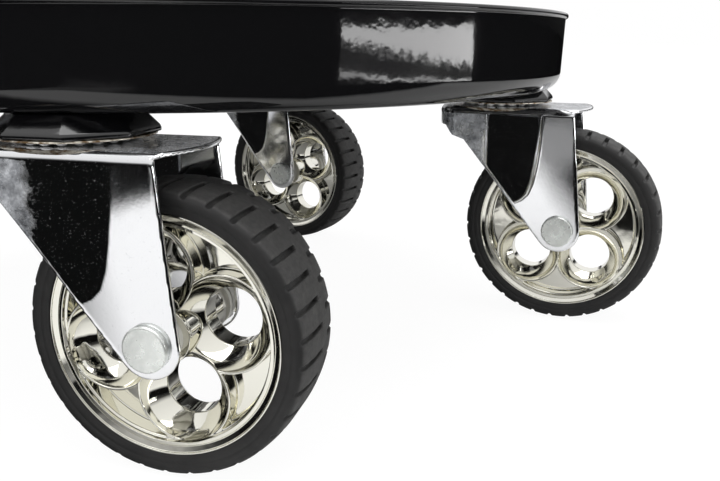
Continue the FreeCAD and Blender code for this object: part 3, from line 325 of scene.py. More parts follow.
def ring_tree():
    """Copies of a piece set round Z by equal turns, welded where they meet."""
    tree, given, result = nodes_tree("set_round_axis", Copies="Int", Weld="Float")
    line = node(tree, "GeometryNodeMeshLine", named={"Count": given["Copies"], "Offset": (0, 0, 0)})
    index = node(tree, "GeometryNodeInputIndex").outputs[0]
    step = math_node(tree, "DIVIDE", TURN, given["Copies"])
    turn = node(tree, "ShaderNodeCombineXYZ", 0.0, 0.0, product(tree, index, step)).outputs[0]
    copies = node(tree, "GeometryNodeInstanceOnPoints", line.outputs[0],
                  named={"Instance": given["Geometry"], "Rotation": turn})
    return tree_ended(tree, given, result, copies.outputs[0], "GeometryNodeMergeByDistance", Distance=given["Weld"])


set_round = ring_tree()


def joint(name):
    found, = [j for j in frame["joints"] if j["name"] == name]
    return found


SWIVELS = {caster: Vector((*joint(caster + "_caster_swivel")["pos_m"][:2], 0.0)) for caster in CASTERS}


def shown(name, mesh, body, material, slot, *replaced):
    """The finished piece, on its body, standing for CAD nodes. It can keep its own material."""
    piece = placed(name, mesh)
    if material:
        mesh.materials.clear()
        mesh.materials.append(material)
    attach(piece, body)
    if replaced:
        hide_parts(*replaced)
    return piece


# Tyres: black rubber moulded over the rims, with two staggered rows of 34 cross slots,
# each from a shoulder to the middle. One pitch is made, then set round the wheel.
TYRE_R = 63.5
TYRE_HALF_W = 20.0
TYRE_BEAD_R = 53.0
TYRE_SEAT_R = 49.5
FLANGE_IN = 16.7
TREAD_PITCHES = 34
SLOT_HALF = 1.25
SLOT_STARTS = (-2.4, 8.0)
SLOT_ROUND_AT = 18.3
SLOT_DEPTHS = (3.2, 1.5)
TYRE_CELL = 0.72
TYRE_FACES_KEPT = 0.55
WELD_M = 2e-6
WHEEL_TURN_DEG = dict(zip(CASTERS, (14.5, 45.0, 31.0, 8.0)))


def met(a, b, r):
    """Overlap of two distance fields, its edge rounded to radius r."""
    return np.minimum(-r, np.maximum(a, b)) + np.hypot(np.maximum(a + r, 0), np.maximum(b + r, 0))


def welded(a, b, r):
    """Sum of two distance fields, with a fillet of radius r where they meet."""
    return -met(-a, -b, r)


def skin(field, low, high, cell, pitch=None):
    """Mesh of a distance field's surface: points, outward normals and quads.

    With a pitch, the first axis is an angle, and the mesh is one pitch of a ring.
    """
    low, high = np.array(low, float), np.array(high, float)
    steps = np.ones(3) * cell
    counts = np.ceil((high - low) / steps).astype(int)
    if pitch:
        counts[0] = round(pitch * high[2] / steps[0])
        steps[0] = pitch / counts[0]
        counts[0] += 1

    def place(c):
        if not pitch:
            return c
        return np.stack([c[..., 2] * np.cos(c[..., 0]), c[..., 2] * np.sin(c[..., 0]), c[..., 1]], -1)

    def at(p):
        return field(p[..., 0], p[..., 1], p[..., 2])

    axes = [low[i] + steps[i] * np.arange(counts[i] + 1) for i in range(3)]
    value = at(place(np.stack(np.meshgrid(*axes, indexing="ij"), -1)))
    total = np.zeros((*counts, 3))
    hits = np.zeros(counts)
    for axis in range(3):
        for first, second in ((0, 0), (0, 1), (1, 0), (1, 1)):
            start = [first, second]
            start.insert(axis, 0)
            end = list(start)
            end[axis] = 1
            v0, v1 = (value[tuple(slice(s, s + n) for s, n in zip(corner, counts))] for corner in (start, end))
            cross = (v0 < 0) != (v1 < 0)
            share = np.where(cross, v0 / np.where(cross, v0 - v1, 1.0), 0.0)
            for i in range(3):
                total[..., i] += cross * (share if i == axis else start[i])
            hits += cross
    used = hits > 0
    number = np.full(hits.shape, -1)
    number[used] = np.arange(used.sum())
    cells = np.argwhere(used) + total[used] / hits[used][:, None]
    points = place(low + cells * steps)
    quads = []
    for axis in range(3):
        u, v = (axis + 1) % 3, (axis + 2) % 3
        v0 = np.take(value, range(counts[axis]), axis)
        v1 = np.take(value, range(1, counts[axis] + 1), axis)
        found = np.argwhere((v0 < 0) != (v1 < 0))
        keep = (found[:, u] > 0) & (found[:, v] > 0) & (found[:, u] < counts[u]) & (found[:, v] < counts[v])
        if pitch and axis == 0:
            keep &= found[:, 0] < counts[0] - 1
        found = found[keep]
        eu, ev = np.eye(3, dtype=int)[u], np.eye(3, dtype=int)[v]
        ring = [number[tuple((found - a * eu - b * ev).T)] for a, b in ((1, 1), (0, 1), (0, 0), (1, 0))]
        ring = np.stack(ring, -1)
        outward = v0[tuple(found.T)] < 0
        quads.append(np.where(outward[:, None], ring, ring[:, ::-1]))
    quads = np.concatenate(quads)
    cell = float(np.min(cell))
    h = 0.05 * cell
    # the points are drawn onto the surface in three steps
    for turn in range(4):
        slope = np.stack([(at(points + h * e) - at(points - h * e)) / (2 * h) for e in np.eye(3)], -1)
        size = np.maximum(np.linalg.norm(slope, axis=1), 1e-3)
        if turn < 3:
            step = np.clip(at(points) / size, -cell, cell)
            points = points - slope * (step / size)[:, None]
    return points, slope / size[:, None], quads


def mesh_of(name, points, quads, normals=None):
    """Mesh from points in millimetres, with the surface's own normals where given."""
    mesh = bpy.data.meshes.new(name)
    mesh.from_pydata((np.asarray(points) * MM).tolist(), [], np.asarray(quads).tolist())
    mesh.polygons.foreach_set("use_smooth", [True] * len(mesh.polygons))
    if normals is not None:
        mesh.normals_split_custom_set_from_vertices(np.asarray(normals).tolist())
    mesh.update()
    return mesh


def points_of(mesh):
    """A mesh's points, in metres."""
    points = np.empty(3 * len(mesh.vertices))
    mesh.vertices.foreach_get("co", points)
    return points.reshape(-1, 3)


def mark(mesh, name, values):
    mesh.attributes.new(name, "FLOAT", "POINT").data.foreach_set("value", np.asarray(values, dtype=np.float32))


def step_between(value, low, high):
    t = np.clip((value - low) / (high - low), 0, 1)
    return t * t * (3 - 2 * t)


def tyre_field(x, y, z):
    r, h = np.hypot(x, y), np.abs(z)
    tread = r - (TYRE_R - 1.1 * np.clip((h - 7.0) / 10.0, 0, 3) ** 1.7)
    wall = h - (TYRE_HALF_W - 1.1 * np.clip((58.0 - r) / 5.0, 0, 2) ** 1.6)
    body = met(tread, wall, 3.2)
    body = met(body, TYRE_SEAT_R - r, 0.4)
    body = met(body, -np.maximum(r - TYRE_BEAD_R, FLANGE_IN - h), 0.5)
    body = met(body, -(np.hypot(r - 56.6, h - 20.3) - 0.8), 0.3)
    # each slot has a square deep end by the middle and a round shallow one at the shoulder
    for side, start in zip((1, -1), SLOT_STARTS):
        turn = np.arctan2(y, x) + (TREAD_PITCH / 2 if side < 0 else 0.0)
        across = r * np.abs(np.mod(turn + TREAD_PITCH / 2, TREAD_PITCH) - TREAD_PITCH / 2)
        plan = np.hypot(across, np.maximum(side * z - SLOT_ROUND_AT, 0)) - SLOT_HALF
        depth = np.interp(side * z, (start, SLOT_ROUND_AT), SLOT_DEPTHS)
        slot = met(met(plan, start - side * z, 0.3), -tread - depth, 0.7)
        body = met(body, -slot, 0.25)
    return body


def wheel_matrix(caster):
    """Stands a wheel on its axle, at its turn: it is made lying flat, its axle along Z."""
    spin = joint(caster + "_wheel_roll")
    axle = Vector(spin["axis"]).normalized()
    stand = Matrix((axle.cross(Vector((0, 0, 1))), Vector((0, 0, 1)), -axle)).transposed().to_4x4()
    return Matrix.Translation(spin["pos_m"]) @ stand @ Matrix.Rotation(math.radians(WHEEL_TURN_DEG[caster]), 4, "Z")


def ring_of(name, field, low, high, cell, copies, material, faces_kept):
    """A distance field's whole ring, made of copies of one pitch, lighter where it is flat."""
    points, _, quads = skin(field, (0, *low), (TURN / copies, *high), cell, TURN / copies)
    ring = grown(mesh_of(name, points, quads), set_round, Copies=copies, Weld=WELD_M, Finish=material)
    return with_modifiers(ring, ("DECIMATE", {"ratio": faces_kept}))


TREAD_PITCH = TURN / TREAD_PITCHES
rubber, tree, shader, place = surface(
    "tyre_rubber", (0.022, 0.022, 0.023), 0.62, Specular_IOR_Level=0.42,
    gloss=((160.0,), (0.3, 0.52), (0.7, 0.70)), grain=[((1100.0, 4.0, 0.7), 0.00012, 0.8)])
clean = ramp(tree, noise(tree, place, 55.0, 6.0, 0.6), (0.35, (0.013, 0.013, 0.013)), (0.75, (0.022, 0.021, 0.021)))
scuffed = ramp(tree, noise(tree, place, 420.0, 6.0, 0.75), (0.30, (0.024, 0.024, 0.024)),
               (0.72, (0.062, 0.060, 0.058)))
link(tree, mixed(tree, carried(tree, "scuff"), clean, scuffed), shader.inputs["Base Color"])

tyre_ring = ring_of("tread_pitch", tyre_field, (-21.5, 48.2), (21.5, 64.6), TYRE_CELL, TREAD_PITCHES, rubber,
                    TYRE_FACES_KEPT)
local = points_of(tyre_ring) / MM
radius, aside = np.hypot(local[:, 0], local[:, 1]), np.abs(local[:, 2])
# the tread is scuffed grey down to its shoulders, the sides and the slots are not
scuff = step_between(radius + 0.10 * (TYRE_HALF_W - aside), 61.2, 62.2) * step_between(-aside, -19.6, -17.8)
mark(tyre_ring, "scuff", scuff)
for caster in CASTERS:
    mesh = tyre_ring.copy()
    mesh.transform(wheel_matrix(caster))
    shown(caster + "_tyre_moulded", mesh, caster + "_wheel", rubber, "tyre_rubber", caster + "_tyre")


# Rims: plastic, moulded in one and plated with bright nickel chrome. Four round bowls,
# each with a short bore through it, sit between hub and bead ring, with thin walls.
RING_IN_R = 47.6
RING_HALF_W = 18.9
WEB_R = 49.0
WEB_HALF_W = 15.5
BOWL_CENTRE_R = 27.4
BOWL_R = 20.6
BORE_R = 12.8
BORE_HALF_W = 5.0
BOWL_WALL = 1.0
BOWL_SAG = 0.9
DISH_R = (49.3, 52.0)
DISH_STEP = 0.6
DISH_SLOPE = 0.43
FAN_FLOOR = 8.0
HUB_R = 12.6
HUB_HALF_W = 24.5
HUB_BORE_R = 9.55
RIM_CELL = (0.72, 0.62, 0.5)
RIM_FACES_KEPT = 0.36


def rim_field(x, y, z):
    r, h = np.hypot(x, y), np.abs(z)
    web = np.maximum(r - WEB_R, h - WEB_HALF_W)
    ring = met(met(r - TYRE_BEAD_R, h - RING_HALF_W, 0.5), RING_IN_R - r, 0.6)
    hub = met(r - HUB_R, h - HUB_HALF_W, 0.5)
    body = welded(welded(web, ring, 0.5), hub, 1.0)
    # the bowls repeat every quarter turn
    swap = np.abs(x) < np.abs(y)
    along, aside = np.where(swap, np.abs(y), np.abs(x)), np.where(swap, np.abs(x), np.abs(y))
    off = np.hypot(along - BOWL_CENTRE_R, aside)
    depth = WEB_HALF_W - BORE_HALF_W
    taper = BOWL_R - BORE_R
    down = (WEB_HALF_W - h) / depth
    sag = BOWL_SAG * np.clip(4 * down * (1 - down), 0, 1)
    bowl = ((off - BOWL_R) * depth + np.maximum(WEB_HALF_W - h, 0) * taper) / math.hypot(depth, taper) - sag
    bowl = met(met(bowl, HUB_R - r, 0.6), r - RING_IN_R - 0.6, 0.4)
    wall = np.minimum(off - BOWL_R - BOWL_WALL, r - HUB_R - BOWL_WALL)
    fan = met(met(r - (RING_IN_R - 0.9), -wall, 0.8), FAN_FLOOR - h, 0.8)
    body = met(body, -fan, 0.4)
    body = met(body, -bowl, 0.4)
    body = met(body, -(off - BORE_R), 0.35)
    # the ring's face falls inwards from a narrow lip, down to a step
    fall = RING_HALF_W - DISH_STEP - DISH_SLOPE * (DISH_R[1] - r) - h
    body = met(body, -np.maximum(fall, np.maximum(r - DISH_R[1], DISH_R[0] - r)), 0.25)
    body = met(body, -np.maximum(r - DISH_R[0] - 0.1, RING_HALF_W - 1.2 - h), 0.25)
    seat = np.maximum(TYRE_SEAT_R - r, h - FLANGE_IN)
    return np.maximum(met(body, -seat, 0.3), HUB_BORE_R - r)


def field_normals(points, field, h=0.03):
    """Outward normals of a distance field's surface at points on it."""
    slope = np.stack([field(*(points + h * e).T) - field(*(points - h * e).T) for e in np.eye(3)], -1)
    return slope / np.maximum(np.linalg.norm(slope, axis=1), 1e-9)[:, None]


plating = surface("rim_plating", (0.86, 0.845, 0.765), 0.06, 1.0, gloss=((40.0,), (0.3, 0.04), (0.8, 0.11)),
                  grain=[((70.0, 2.0), 0.0006, 0.30), ((260.0, 3.0), 0.0001, 0.15)])[0]
rim_ring = ring_of("rim_quarter", rim_field, (-25.2, 8.6), (25.2, 53.8), RIM_CELL, 4, plating, RIM_FACES_KEPT)
normals = field_normals(points_of(rim_ring) / MM, rim_field)
for caster in CASTERS:
    turn = wheel_matrix(caster)
    mesh = rim_ring.copy()
    mesh.transform(turn)
    mesh.normals_split_custom_set_from_vertices((normals @ np.array(turn)[:3, :3].T).tolist())
    shown(caster + "_rim_plated", mesh, caster + "_wheel", plating, "rim_chrome", caster + "_wheel_rim")


# Forks: each pressed from one 2.5 mm steel sheet, a flat round-backed top with a lip in
# front and two legs, bent round a 5 mm corner and chrome plated. The axle joins the legs.
FORK_HALF_W = 30.0
FORK_SHEET = 2.5
FORK_TOP = 142.0
FORK_FRONT_R = 41.0
FORK_BEND = 5.0
FORK_TRAIL = 45.0
FORK_CELL = 0.9
AXLE_Z = 63.5
AXLE_HOLE_R = 5.0
STEM_HOLE_R = 6.05
TONGUE_AT = -4.5
TONGUE_R = 64.5
LOBE_R = 14.0
# Side outline from the front of the lip round the valley and the lobe to the tongue,
# (way back from the swivel axis, height)
FORK_SIDE = [(-45, 128.5), (-32.5, 128.5), (-26.8, 122.6), (-19.0, 120.0)]
FORK_LEG_REAR = (51.5, 139.5)
FORK_REAR_END = [(66, 139.5), (66, 150), (-45, 150)]
HOLLOW_R = 400.0
HOLLOW_MOST = 0.8
HOLLOW_TURN = 17.0
# Where the leg starts to curve inwards, towards its front
HOLLOW_HEIGHTS = (70.0, 77.0, 79.0, 82.0, 86.0, 94.0, 105.0, 117.0, 139.0)
HOLLOW_PLACES = (2.0, 8.0, 16.0, 22.5, 26.5, 29.5, 31.5, 33.0, 34.5)


def tangent(point, side):
    """Angle at which a line from a point touches the lobe round the axle."""
    dx, dz = point[0] - FORK_TRAIL, point[1] - AXLE_Z
    return math.atan2(dz, dx) + side * math.acos(LOBE_R / math.hypot(dx, dz))


lobe = [(FORK_TRAIL + LOBE_R * math.cos(a), AXLE_Z + LOBE_R * math.sin(a))
        for a in np.linspace(tangent(FORK_SIDE[-1], 1), tangent(FORK_LEG_REAR, -1) + TURN, 24)]
fork_side = np.array(FORK_SIDE + lobe + [FORK_LEG_REAR] + FORK_REAR_END)


def flat_field(x, z, outline):
    """Distance to a closed outline in a plane, negative inside."""
    best = np.full(np.shape(x), np.inf)
    inside = np.zeros(np.shape(x), bool)
    for (ax, az), (bx, bz) in zip(outline, np.roll(outline, -1, 0)):
        ex, ez = bx - ax, bz - az
        share = np.clip(((x - ax) * ex + (z - az) * ez) / (ex * ex + ez * ez), 0, 1)
        best = np.minimum(best, np.hypot(x - ax - share * ex, z - az - share * ez))
        cuts = ((az > z) != (bz > z)) & (x < ax + (z - az) * ex / (ez if ez else 1.0))
        inside ^= cuts
    return np.where(inside, -best, best)


def fork_skin(x, y, z, inset):
    side, front = y - (FORK_HALF_W - inset), np.hypot(np.minimum(x, 0), y) - FORK_FRONT_R + inset
    plan = np.where(x > -20, np.maximum(side, front), met(side, front, 2.0))
    return met(plan, z - FORK_TOP + inset, FORK_BEND - inset)


def fork_field(x, y, z):
    y = np.abs(y)
    ahead = np.maximum(np.interp(z, HOLLOW_HEIGHTS, HOLLOW_PLACES) - x, 0)
    hollow = HOLLOW_MOST * (1 - np.exp(-ahead ** 2 / (2 * HOLLOW_R * HOLLOW_MOST)))
    fade = np.clip((FORK_TOP - 6.0 - z) / 40.0, 0, 1) * np.clip((y - 15.0) / 8.0, 0, 1)
    y = y + hollow * fade * fade * (3 - 2 * fade)
    sheet = np.maximum(fork_skin(x, y, z, 0.0), -fork_skin(x, y, z, FORK_SHEET))
    sheet = met(sheet, flat_field(x, z, fork_side), 1.0)
    tongue = np.where(z > FORK_TOP - 3.4, np.hypot(x - TONGUE_AT, y) - TONGUE_R, -9.0)
    sheet = met(sheet, tongue, 1.0)
    sheet = met(sheet, AXLE_HOLE_R - np.hypot(x - FORK_TRAIL, z - AXLE_Z), 0.3)
    return met(sheet, STEM_HOLE_R - np.where(z > 120, np.hypot(x, y), 99.0), 0.3)


def caster_matrix(caster):
    """Puts a caster, made round the Z axis and trailing along X, on its swivel."""
    back = Vector(joint(caster + "_wheel_roll")["pos_m"]) - SWIVELS[caster]
    back.z = 0.0
    back.normalize()
    place = Matrix((back, Vector((0, 0, 1)).cross(back), Vector((0, 0, 1)))).transposed().to_4x4()
    return Matrix.Translation(SWIVELS[caster]) @ place


PLATED = (0.88, 0.885, 0.90)
fork_chrome, tree, shader, place = surface(
    "fork_chrome", PLATED, 0.05, 1.0, grain=[((28.0, 2.0), 0.0008, 0.08), ((500.0, 3.0), 0.00005, 0.12)])
dull = math_node(tree, "MULTIPLY_ADD", noise(tree, place, 130.0, 6.0, 0.75), 1.1, carried(tree, "dull"))
dull = ramp(tree, dull, (0.72, 0.0), (1.0, 1.0))
polish = ramp(tree, noise(tree, place, 60.0, 5.0, 0.6), (0.35, 0.05), (0.8, 0.12))
haze = ramp(tree, noise(tree, place, 150.0, 6.0, 0.7), (0.3, 0.16), (0.7, 0.42))
specks = ramp(tree, noise(tree, place, 1500.0, 2.0, 0.5), (0.67, 1.0), (0.74, 0.78))
thin = ramp(tree, noise(tree, place, 110.0, 6.0, 0.7), (0.35, 0.30), (0.65, 0.95))
worn = ramp(tree, noise(tree, place, 90.0, 6.0, 0.75), (0.30, (0.16, 0.17, 0.19)), (0.62, (0.80, 0.82, 0.86)))
bright = (*PLATED, 1.0)
for label, good, bad in (("Roughness", polish, haze), ("Metallic", specks, thin), ("Base Color", bright, worn)):
    link(tree, mixed(tree, dull, good, bad), shader.inputs[label])

points, normals, quads = skin(fork_field, (-43, -31.5, 48), (62, 31.5, 143.5), FORK_CELL)
# the leg's pressed front part leans forward, so it looks to the darker side of the room
s_place, _, z_place = points.T
ahead = np.interp(z_place, HOLLOW_HEIGHTS, HOLLOW_PLACES) - s_place
lean = np.interp(ahead, (0.0, 4.6), (0.0, HOLLOW_TURN)) * np.interp(s_place, (-5.0, -1.0), (0.0, 1.0))
lean = lean * np.clip((139.0 - z_place) / 2.0, 0, 1)
inside = -flat_field(s_place, z_place, fork_side)
lean = (-4.0 + (lean + 4.0) * step_between(inside, 1.5, 2.6)) * (np.abs(normals[:, 1]) > 0.9)
turn_by = np.radians(lean) * np.sign(normals[:, 1])
cos_t, sin_t = np.cos(turn_by), np.sin(turn_by)
leaned = np.stack([normals[:, 0] * cos_t - normals[:, 1] * sin_t,
                   normals[:, 0] * sin_t + normals[:, 1] * cos_t, normals[:, 2]], -1)
# the drawn front of each leg has thin plating
drawn = step_between(-s_place, -2.0, 16.0) * (np.abs(normals[:, 1]) > 0.5) * (z_place < 137.0)
for caster in CASTERS:
    turn = np.array(caster_matrix(caster))
    mesh = mesh_of("fork", points @ turn[:3, :3].T + turn[:3, 3] / MM, quads, leaned @ turn[:3, :3].T)
    mark(mesh, "dull", np.maximum(drawn, 0.35 * (normals[:, 2] > 0.9)))
    shown(caster + "_fork_pressed", mesh, caster + "_caster", fork_chrome, "fork_chrome", caster + "_fork")


def refined(name, cad_name, body, material, slot, bevel, segments=2, angle=30.0):
    """A CAD piece taken over with its loose triangles joined and its edges rounded."""
    mesh = bpy.data.objects[cad_name].data.copy()
    mesh.transform(bpy.data.objects[cad_name].matrix_world)
    shape = bmesh.new()
    shape.from_mesh(mesh)
    bmesh.ops.remove_doubles(shape, verts=shape.verts, dist=1e-6)
    bmesh.ops.dissolve_limit(shape, angle_limit=math.radians(0.6), verts=shape.verts, edges=shape.edges)
    shape.to_mesh(mesh)
    shape.free()
    mesh.polygons.foreach_set("use_smooth", [True] * len(mesh.polygons))
    rounding = shown(name, mesh, body, material, slot, cad_name).modifiers.new("edges", "BEVEL")
    rounding.width = bevel * MM
    rounding.segments = segments
    rounding.limit_method = "ANGLE"
    rounding.angle_limit = math.radians(angle)
    rounding.harden_normals = True


zinc = surface("zinc_plate", (0.80, 0.82, 0.79), 0.34, 0.65,
               tones=((420.0, 4.0, 0.7), (0.3, (0.74, 0.77, 0.74)), (0.7, (0.86, 0.88, 0.85))),
               gloss=((250.0,), (0.3, 0.22), (0.75, 0.42)), grain=[((1100.0, 3.0), 0.00006, 0.5)])[0]
cup_black = surface("cup_black", (0.004, 0.004, 0.0045), 0.10, Specular_IOR_Level=0.9,
                    gloss=((180.0,), (0.3, 0.06), (0.8, 0.16)), grain=[((240.0, 3.0), 0.0003, 0.22)])[0]
for caster in CASTERS:
    refined(caster + "_axle_headed", caster + "_axle", caster + "_caster", zinc, "zinc", 0.6, 3)
for caster in CASTERS:
    refined(caster + "_cup_pressed", caster + "_swivel_cup", "base", cup_black, "cup_black", 1.1, 3)


# Swivel bearings: 22 greased steel balls between the cup and the fork's top, kept in by a
# thin bright race ring under the cup's edge.
CUP_BOTTOM = 145.0
BALLS = 22
BALL_R = 3.175
BALL_RING_R = 24.0
BALL_Z = 145.295
RACE_IN_R = 27.35
RACE_OUT_R = 33.2
RACE_T = 0.8


def circle(radii, heights, angles):
    """Points round Z in metres, from radii and heights in millimetres."""
    return [(r * MM * math.cos(a), r * MM * math.sin(a), z * MM) for r, z, a in zip(radii, heights, angles)]


def angles_of(count):
    return [TURN * i / count for i in range(count)]


def through_rings(name, rings, loop, smooth=True):
    """Closed mesh through rings of points round Z, of which one can be a single point."""
    shape = bmesh.new()
    rings = [[shape.verts.new(point) for point in ring] for ring in rings]
    for low, high in zip(rings, rings[1:] + (rings[:1] if loop else [])):
        for i in range(max(len(low), len(high))):
            corners = (low[i % len(low)], low[(i + 1) % len(low)], high[(i + 1) % len(high)], high[i % len(high)])
            corners = list(dict.fromkeys(corners))
            if len(corners) > 2:
                shape.faces.new(corners)
    for end in (() if loop else (rings[0][::-1], rings[-1])):
        if len(end) > 1:
            shape.faces.new(end)
    bmesh.ops.recalc_face_normals(shape, faces=shape.faces)
    mesh = bpy.data.meshes.new(name)
    shape.to_mesh(mesh)
    shape.free()
    mesh.polygons.foreach_set("use_smooth", [smooth and len(p.vertices) < 5 for p in mesh.polygons])
    return mesh


def lathe(name, outline, around=128):
    """Closed mesh from an outline of (radius, height) points in order, turned round Z."""
    angles = angles_of(around)
    rings = [circle([r] * around, [z] * around, angles if r > 1e-6 else angles[:1]) for r, z in outline]
    return through_rings(name, rings, len(rings[0]) > 1 or len(rings[-1]) > 1)


def rounded(outline, radius, steps=4):
    """An outline with its corners rounded, each by its own radius or by one for all."""
    radii = radius if hasattr(radius, "__len__") else [radius] * len(outline)
    out = []
    for i, (here, r) in enumerate(zip(outline, radii)):
        before, after = Vector(outline[i - 1]), Vector(outline[(i + 1) % len(outline)])
        here = Vector(here)
        a, b = before - here, after - here
        if r <= 0 or a.length < 1e-9 or b.length < 1e-9:
            out.append(tuple(here))
            continue
        run = min(r / math.tan(a.angle(b) / 2), 0.45 * a.length, 0.45 * b.length)
        start, end = here + a.normalized() * run, here + b.normalized() * run
        for k in range(steps + 1):
            t = k / steps
            out.append(tuple(start.lerp(here, t).lerp(here.lerp(end, t), t)))
    return out


def joined(name, *meshes):
    """One mesh of several closed ones, which keep their own materials."""
    shape = bmesh.new()
    paints = []
    for mesh in meshes:
        start = len(shape.faces)
        shape.from_mesh(mesh)
        shape.faces.ensure_lookup_table()
        paint = mesh.materials[0] if mesh.materials else None
        if paint not in paints:
            paints.append(paint)
        for face in shape.faces[start:]:
            face.material_index = paints.index(paint)
    out = bpy.data.meshes.new(name)
    shape.to_mesh(out)
    shape.free()
    for paint in paints:
        out.materials.append(paint)
    return out


def balls_tree():
    """Balls set round a ring, by count and radius, with their own material."""
    tree, given, result = nodes_tree("balls_in_ring", Count="Int", Ring="Float", Ball="Float")
    ball = node(tree, "GeometryNodeMeshUVSphere", named={"Segments": 20, "Rings": 12, "Radius": given["Ball"]})
    ring = node(tree, "GeometryNodeMeshCircle", named={"Vertices": given["Count"], "Radius": given["Ring"]})
    balls = node(tree, "GeometryNodeInstanceOnPoints", ring.outputs[0], named={"Instance": ball.outputs[0]})
    return tree_ended(tree, given, result, balls.outputs[0])


steel = surface("greased_steel", (0.70, 0.50, 0.25), 0.14, 0.40, Coat_Weight=0.8,
                tones=((220.0, 3.0), (0.35, (0.38, 0.20, 0.07)), (0.68, (0.95, 0.76, 0.44))))[0]
race_steel = surface("race_steel", (0.75, 0.70, 0.60), 0.28, 0.70,
                     tones=((260.0, 3.0), (0.40, (0.22, 0.14, 0.07)), (0.58, (0.88, 0.83, 0.72))))[0]
ball_ring = grown(bpy.data.meshes.new("no_mesh"), balls_tree(), Count=BALLS, Ring=BALL_RING_R * MM,
                  Ball=BALL_R * MM, Finish=steel)
ball_ring.transform(Matrix.Translation((0, 0, BALL_Z * MM)))
race = lathe("race", rounded([(RACE_IN_R, CUP_BOTTOM - RACE_T), (RACE_OUT_R, CUP_BOTTOM - RACE_T),
                              (RACE_OUT_R, CUP_BOTTOM), (RACE_IN_R, CUP_BOTTOM)], 0.3, 3), 96)
race.materials.append(race_steel)
for caster in CASTERS:
    mesh = joined("bearing", ball_ring, race)
    mesh.transform(Matrix.Translation(SWIVELS[caster]))
    shown(caster + "_bearing_greased", mesh, "base", None, "bearing_steel", caster + "_swivel_bearing")


# Tray: one round pan pressed from 1.5 mm steel, with a rolled lip and low pads pressed up
# where things bolt on, in gloss black powder coat.
TRAY_R = 241.5
TRAY_LOW_R = 240.3
TRAY_LOW = 155.0
TRAY_TOP = 200.0
TRAY_SHEET = 1.5
TRAY_FLOOR = TRAY_LOW + TRAY_SHEET
TRAY_CORNER_R = 11.0
TRAY_HOLE_R = 26.0
LIP_OUT = 1.6
LIP_H = 3.2
PAD_H = 0.5
PAD_EDGE = 1.2
STEM_PAD_R = 13.0
SOCKET_PAD_R = 62.5


def arc_points(cx, cz, radius, start, end, steps):
    return [(cx + radius * math.cos(math.radians(a)), cz + radius * math.sin(math.radians(a)))
            for a in np.linspace(start, end, steps)]


def tray_outline():
    corner_r, corner_z = TRAY_LOW_R - TRAY_CORNER_R, TRAY_LOW + TRAY_CORNER_R
    across = np.linspace(40, corner_r, 20)
    inner = TRAY_R - TRAY_SHEET
    return (
        [(TRAY_HOLE_R, TRAY_LOW), *((r, TRAY_LOW) for r in across)]
        + arc_points(corner_r, corner_z, TRAY_CORNER_R, -84, 0, 15)
        + [(TRAY_LOW_R + (TRAY_R - TRAY_LOW_R) * t, corner_z + (TRAY_TOP - LIP_H - corner_z) * t)
           for t in (*np.linspace(0.12, 0.93, 8), 0.975, 0.99)]
        + arc_points(TRAY_R, TRAY_TOP - LIP_H / 2, LIP_OUT, -88, 90, 13)
        + [(TRAY_R - 0.7, TRAY_TOP), (inner + 0.1, TRAY_TOP - 0.2), (inner, TRAY_TOP - 0.9)]
        + [(inner - (TRAY_R - TRAY_LOW_R) * t, TRAY_TOP + (corner_z - TRAY_TOP) * t) for t in np.linspace(0.15, 0.9, 6)]
        + arc_points(corner_r, corner_z, TRAY_CORNER_R - TRAY_SHEET, 0, -84, 13)
        + [*((r, TRAY_FLOOR) for r in across[::-1]), (TRAY_HOLE_R, TRAY_FLOOR)])


def tray_pad(radius, at=(0, 0, 0)):
    """A low flat pad on the tray's floor, with a sloping edge."""
    outline = [(0, TRAY_FLOOR - 0.7), (radius, TRAY_FLOOR - 0.7), (radius, TRAY_FLOOR),
               (radius - PAD_EDGE, TRAY_FLOOR + PAD_H), (radius - 2 * PAD_EDGE, TRAY_FLOOR + PAD_H),
               (0, TRAY_FLOOR + PAD_H)]
    pad = lathe("pad", rounded(outline, (0, 0, 0, 0.6, 0, 0), 3))
    pad.transform(Matrix.Translation(at))
    return pad


powder = surface("tray_powder", (0.0055, 0.0055, 0.006), 0.055, Specular_IOR_Level=0.6,
                 gloss=((35.0, 3.0), (0.3, 0.035), (0.8, 0.075)), grain=[((170.0, 2.0, 0.4), 0.0004, 0.10)])[0]
pads = [tray_pad(SOCKET_PAD_R)] + [tray_pad(STEM_PAD_R, SWIVELS[caster]) for caster in CASTERS]
tray = joined("tray", lathe("tray", tray_outline(), 384), *pads)
shown("tray_pan", tray, "base", powder, "tray_paint", "tray")


# Caster fasteners: each stem is a zinc-plated stud riveted under the fork, with rolled
# threads where it stands in the tray; a split washer and a nut hold the caster on.
SWIVEL_CIRCLE_R = 207.0
STEM_R = 6.0
STEM_LOW = 136.2
STEM_TOP = 175.6
THREAD_LOW = 158.0
THREAD_PITCH = 1.75
THREAD_DEPTH = 0.9
M8_R = 4.0
M8_PITCH = 1.25
M8_DEPTH = 0.6
M8_FLATS = 13.0


def threaded(name, radius, low, high, pitch, depth, around=28):
    """Closed shank with a rolled thread that runs out at both ends."""
    rows = max(2, round((high - low) / (pitch / 4)))
    rings = []
    for k in range(rows + 1):
        z = low + (high - low) * k / rows
        end = min(1.0, (z - low) / pitch, (high - z) / pitch)
        phases = [(z / pitch - i / around) % 1.0 for i in range(around)]
        radii = [radius - depth * (1 - end * (1 - abs(2 * phase - 1))) for phase in phases]
        rings.append(circle(radii, [z] * around, angles_of(around)))
    return through_rings(name, rings, loop=False)


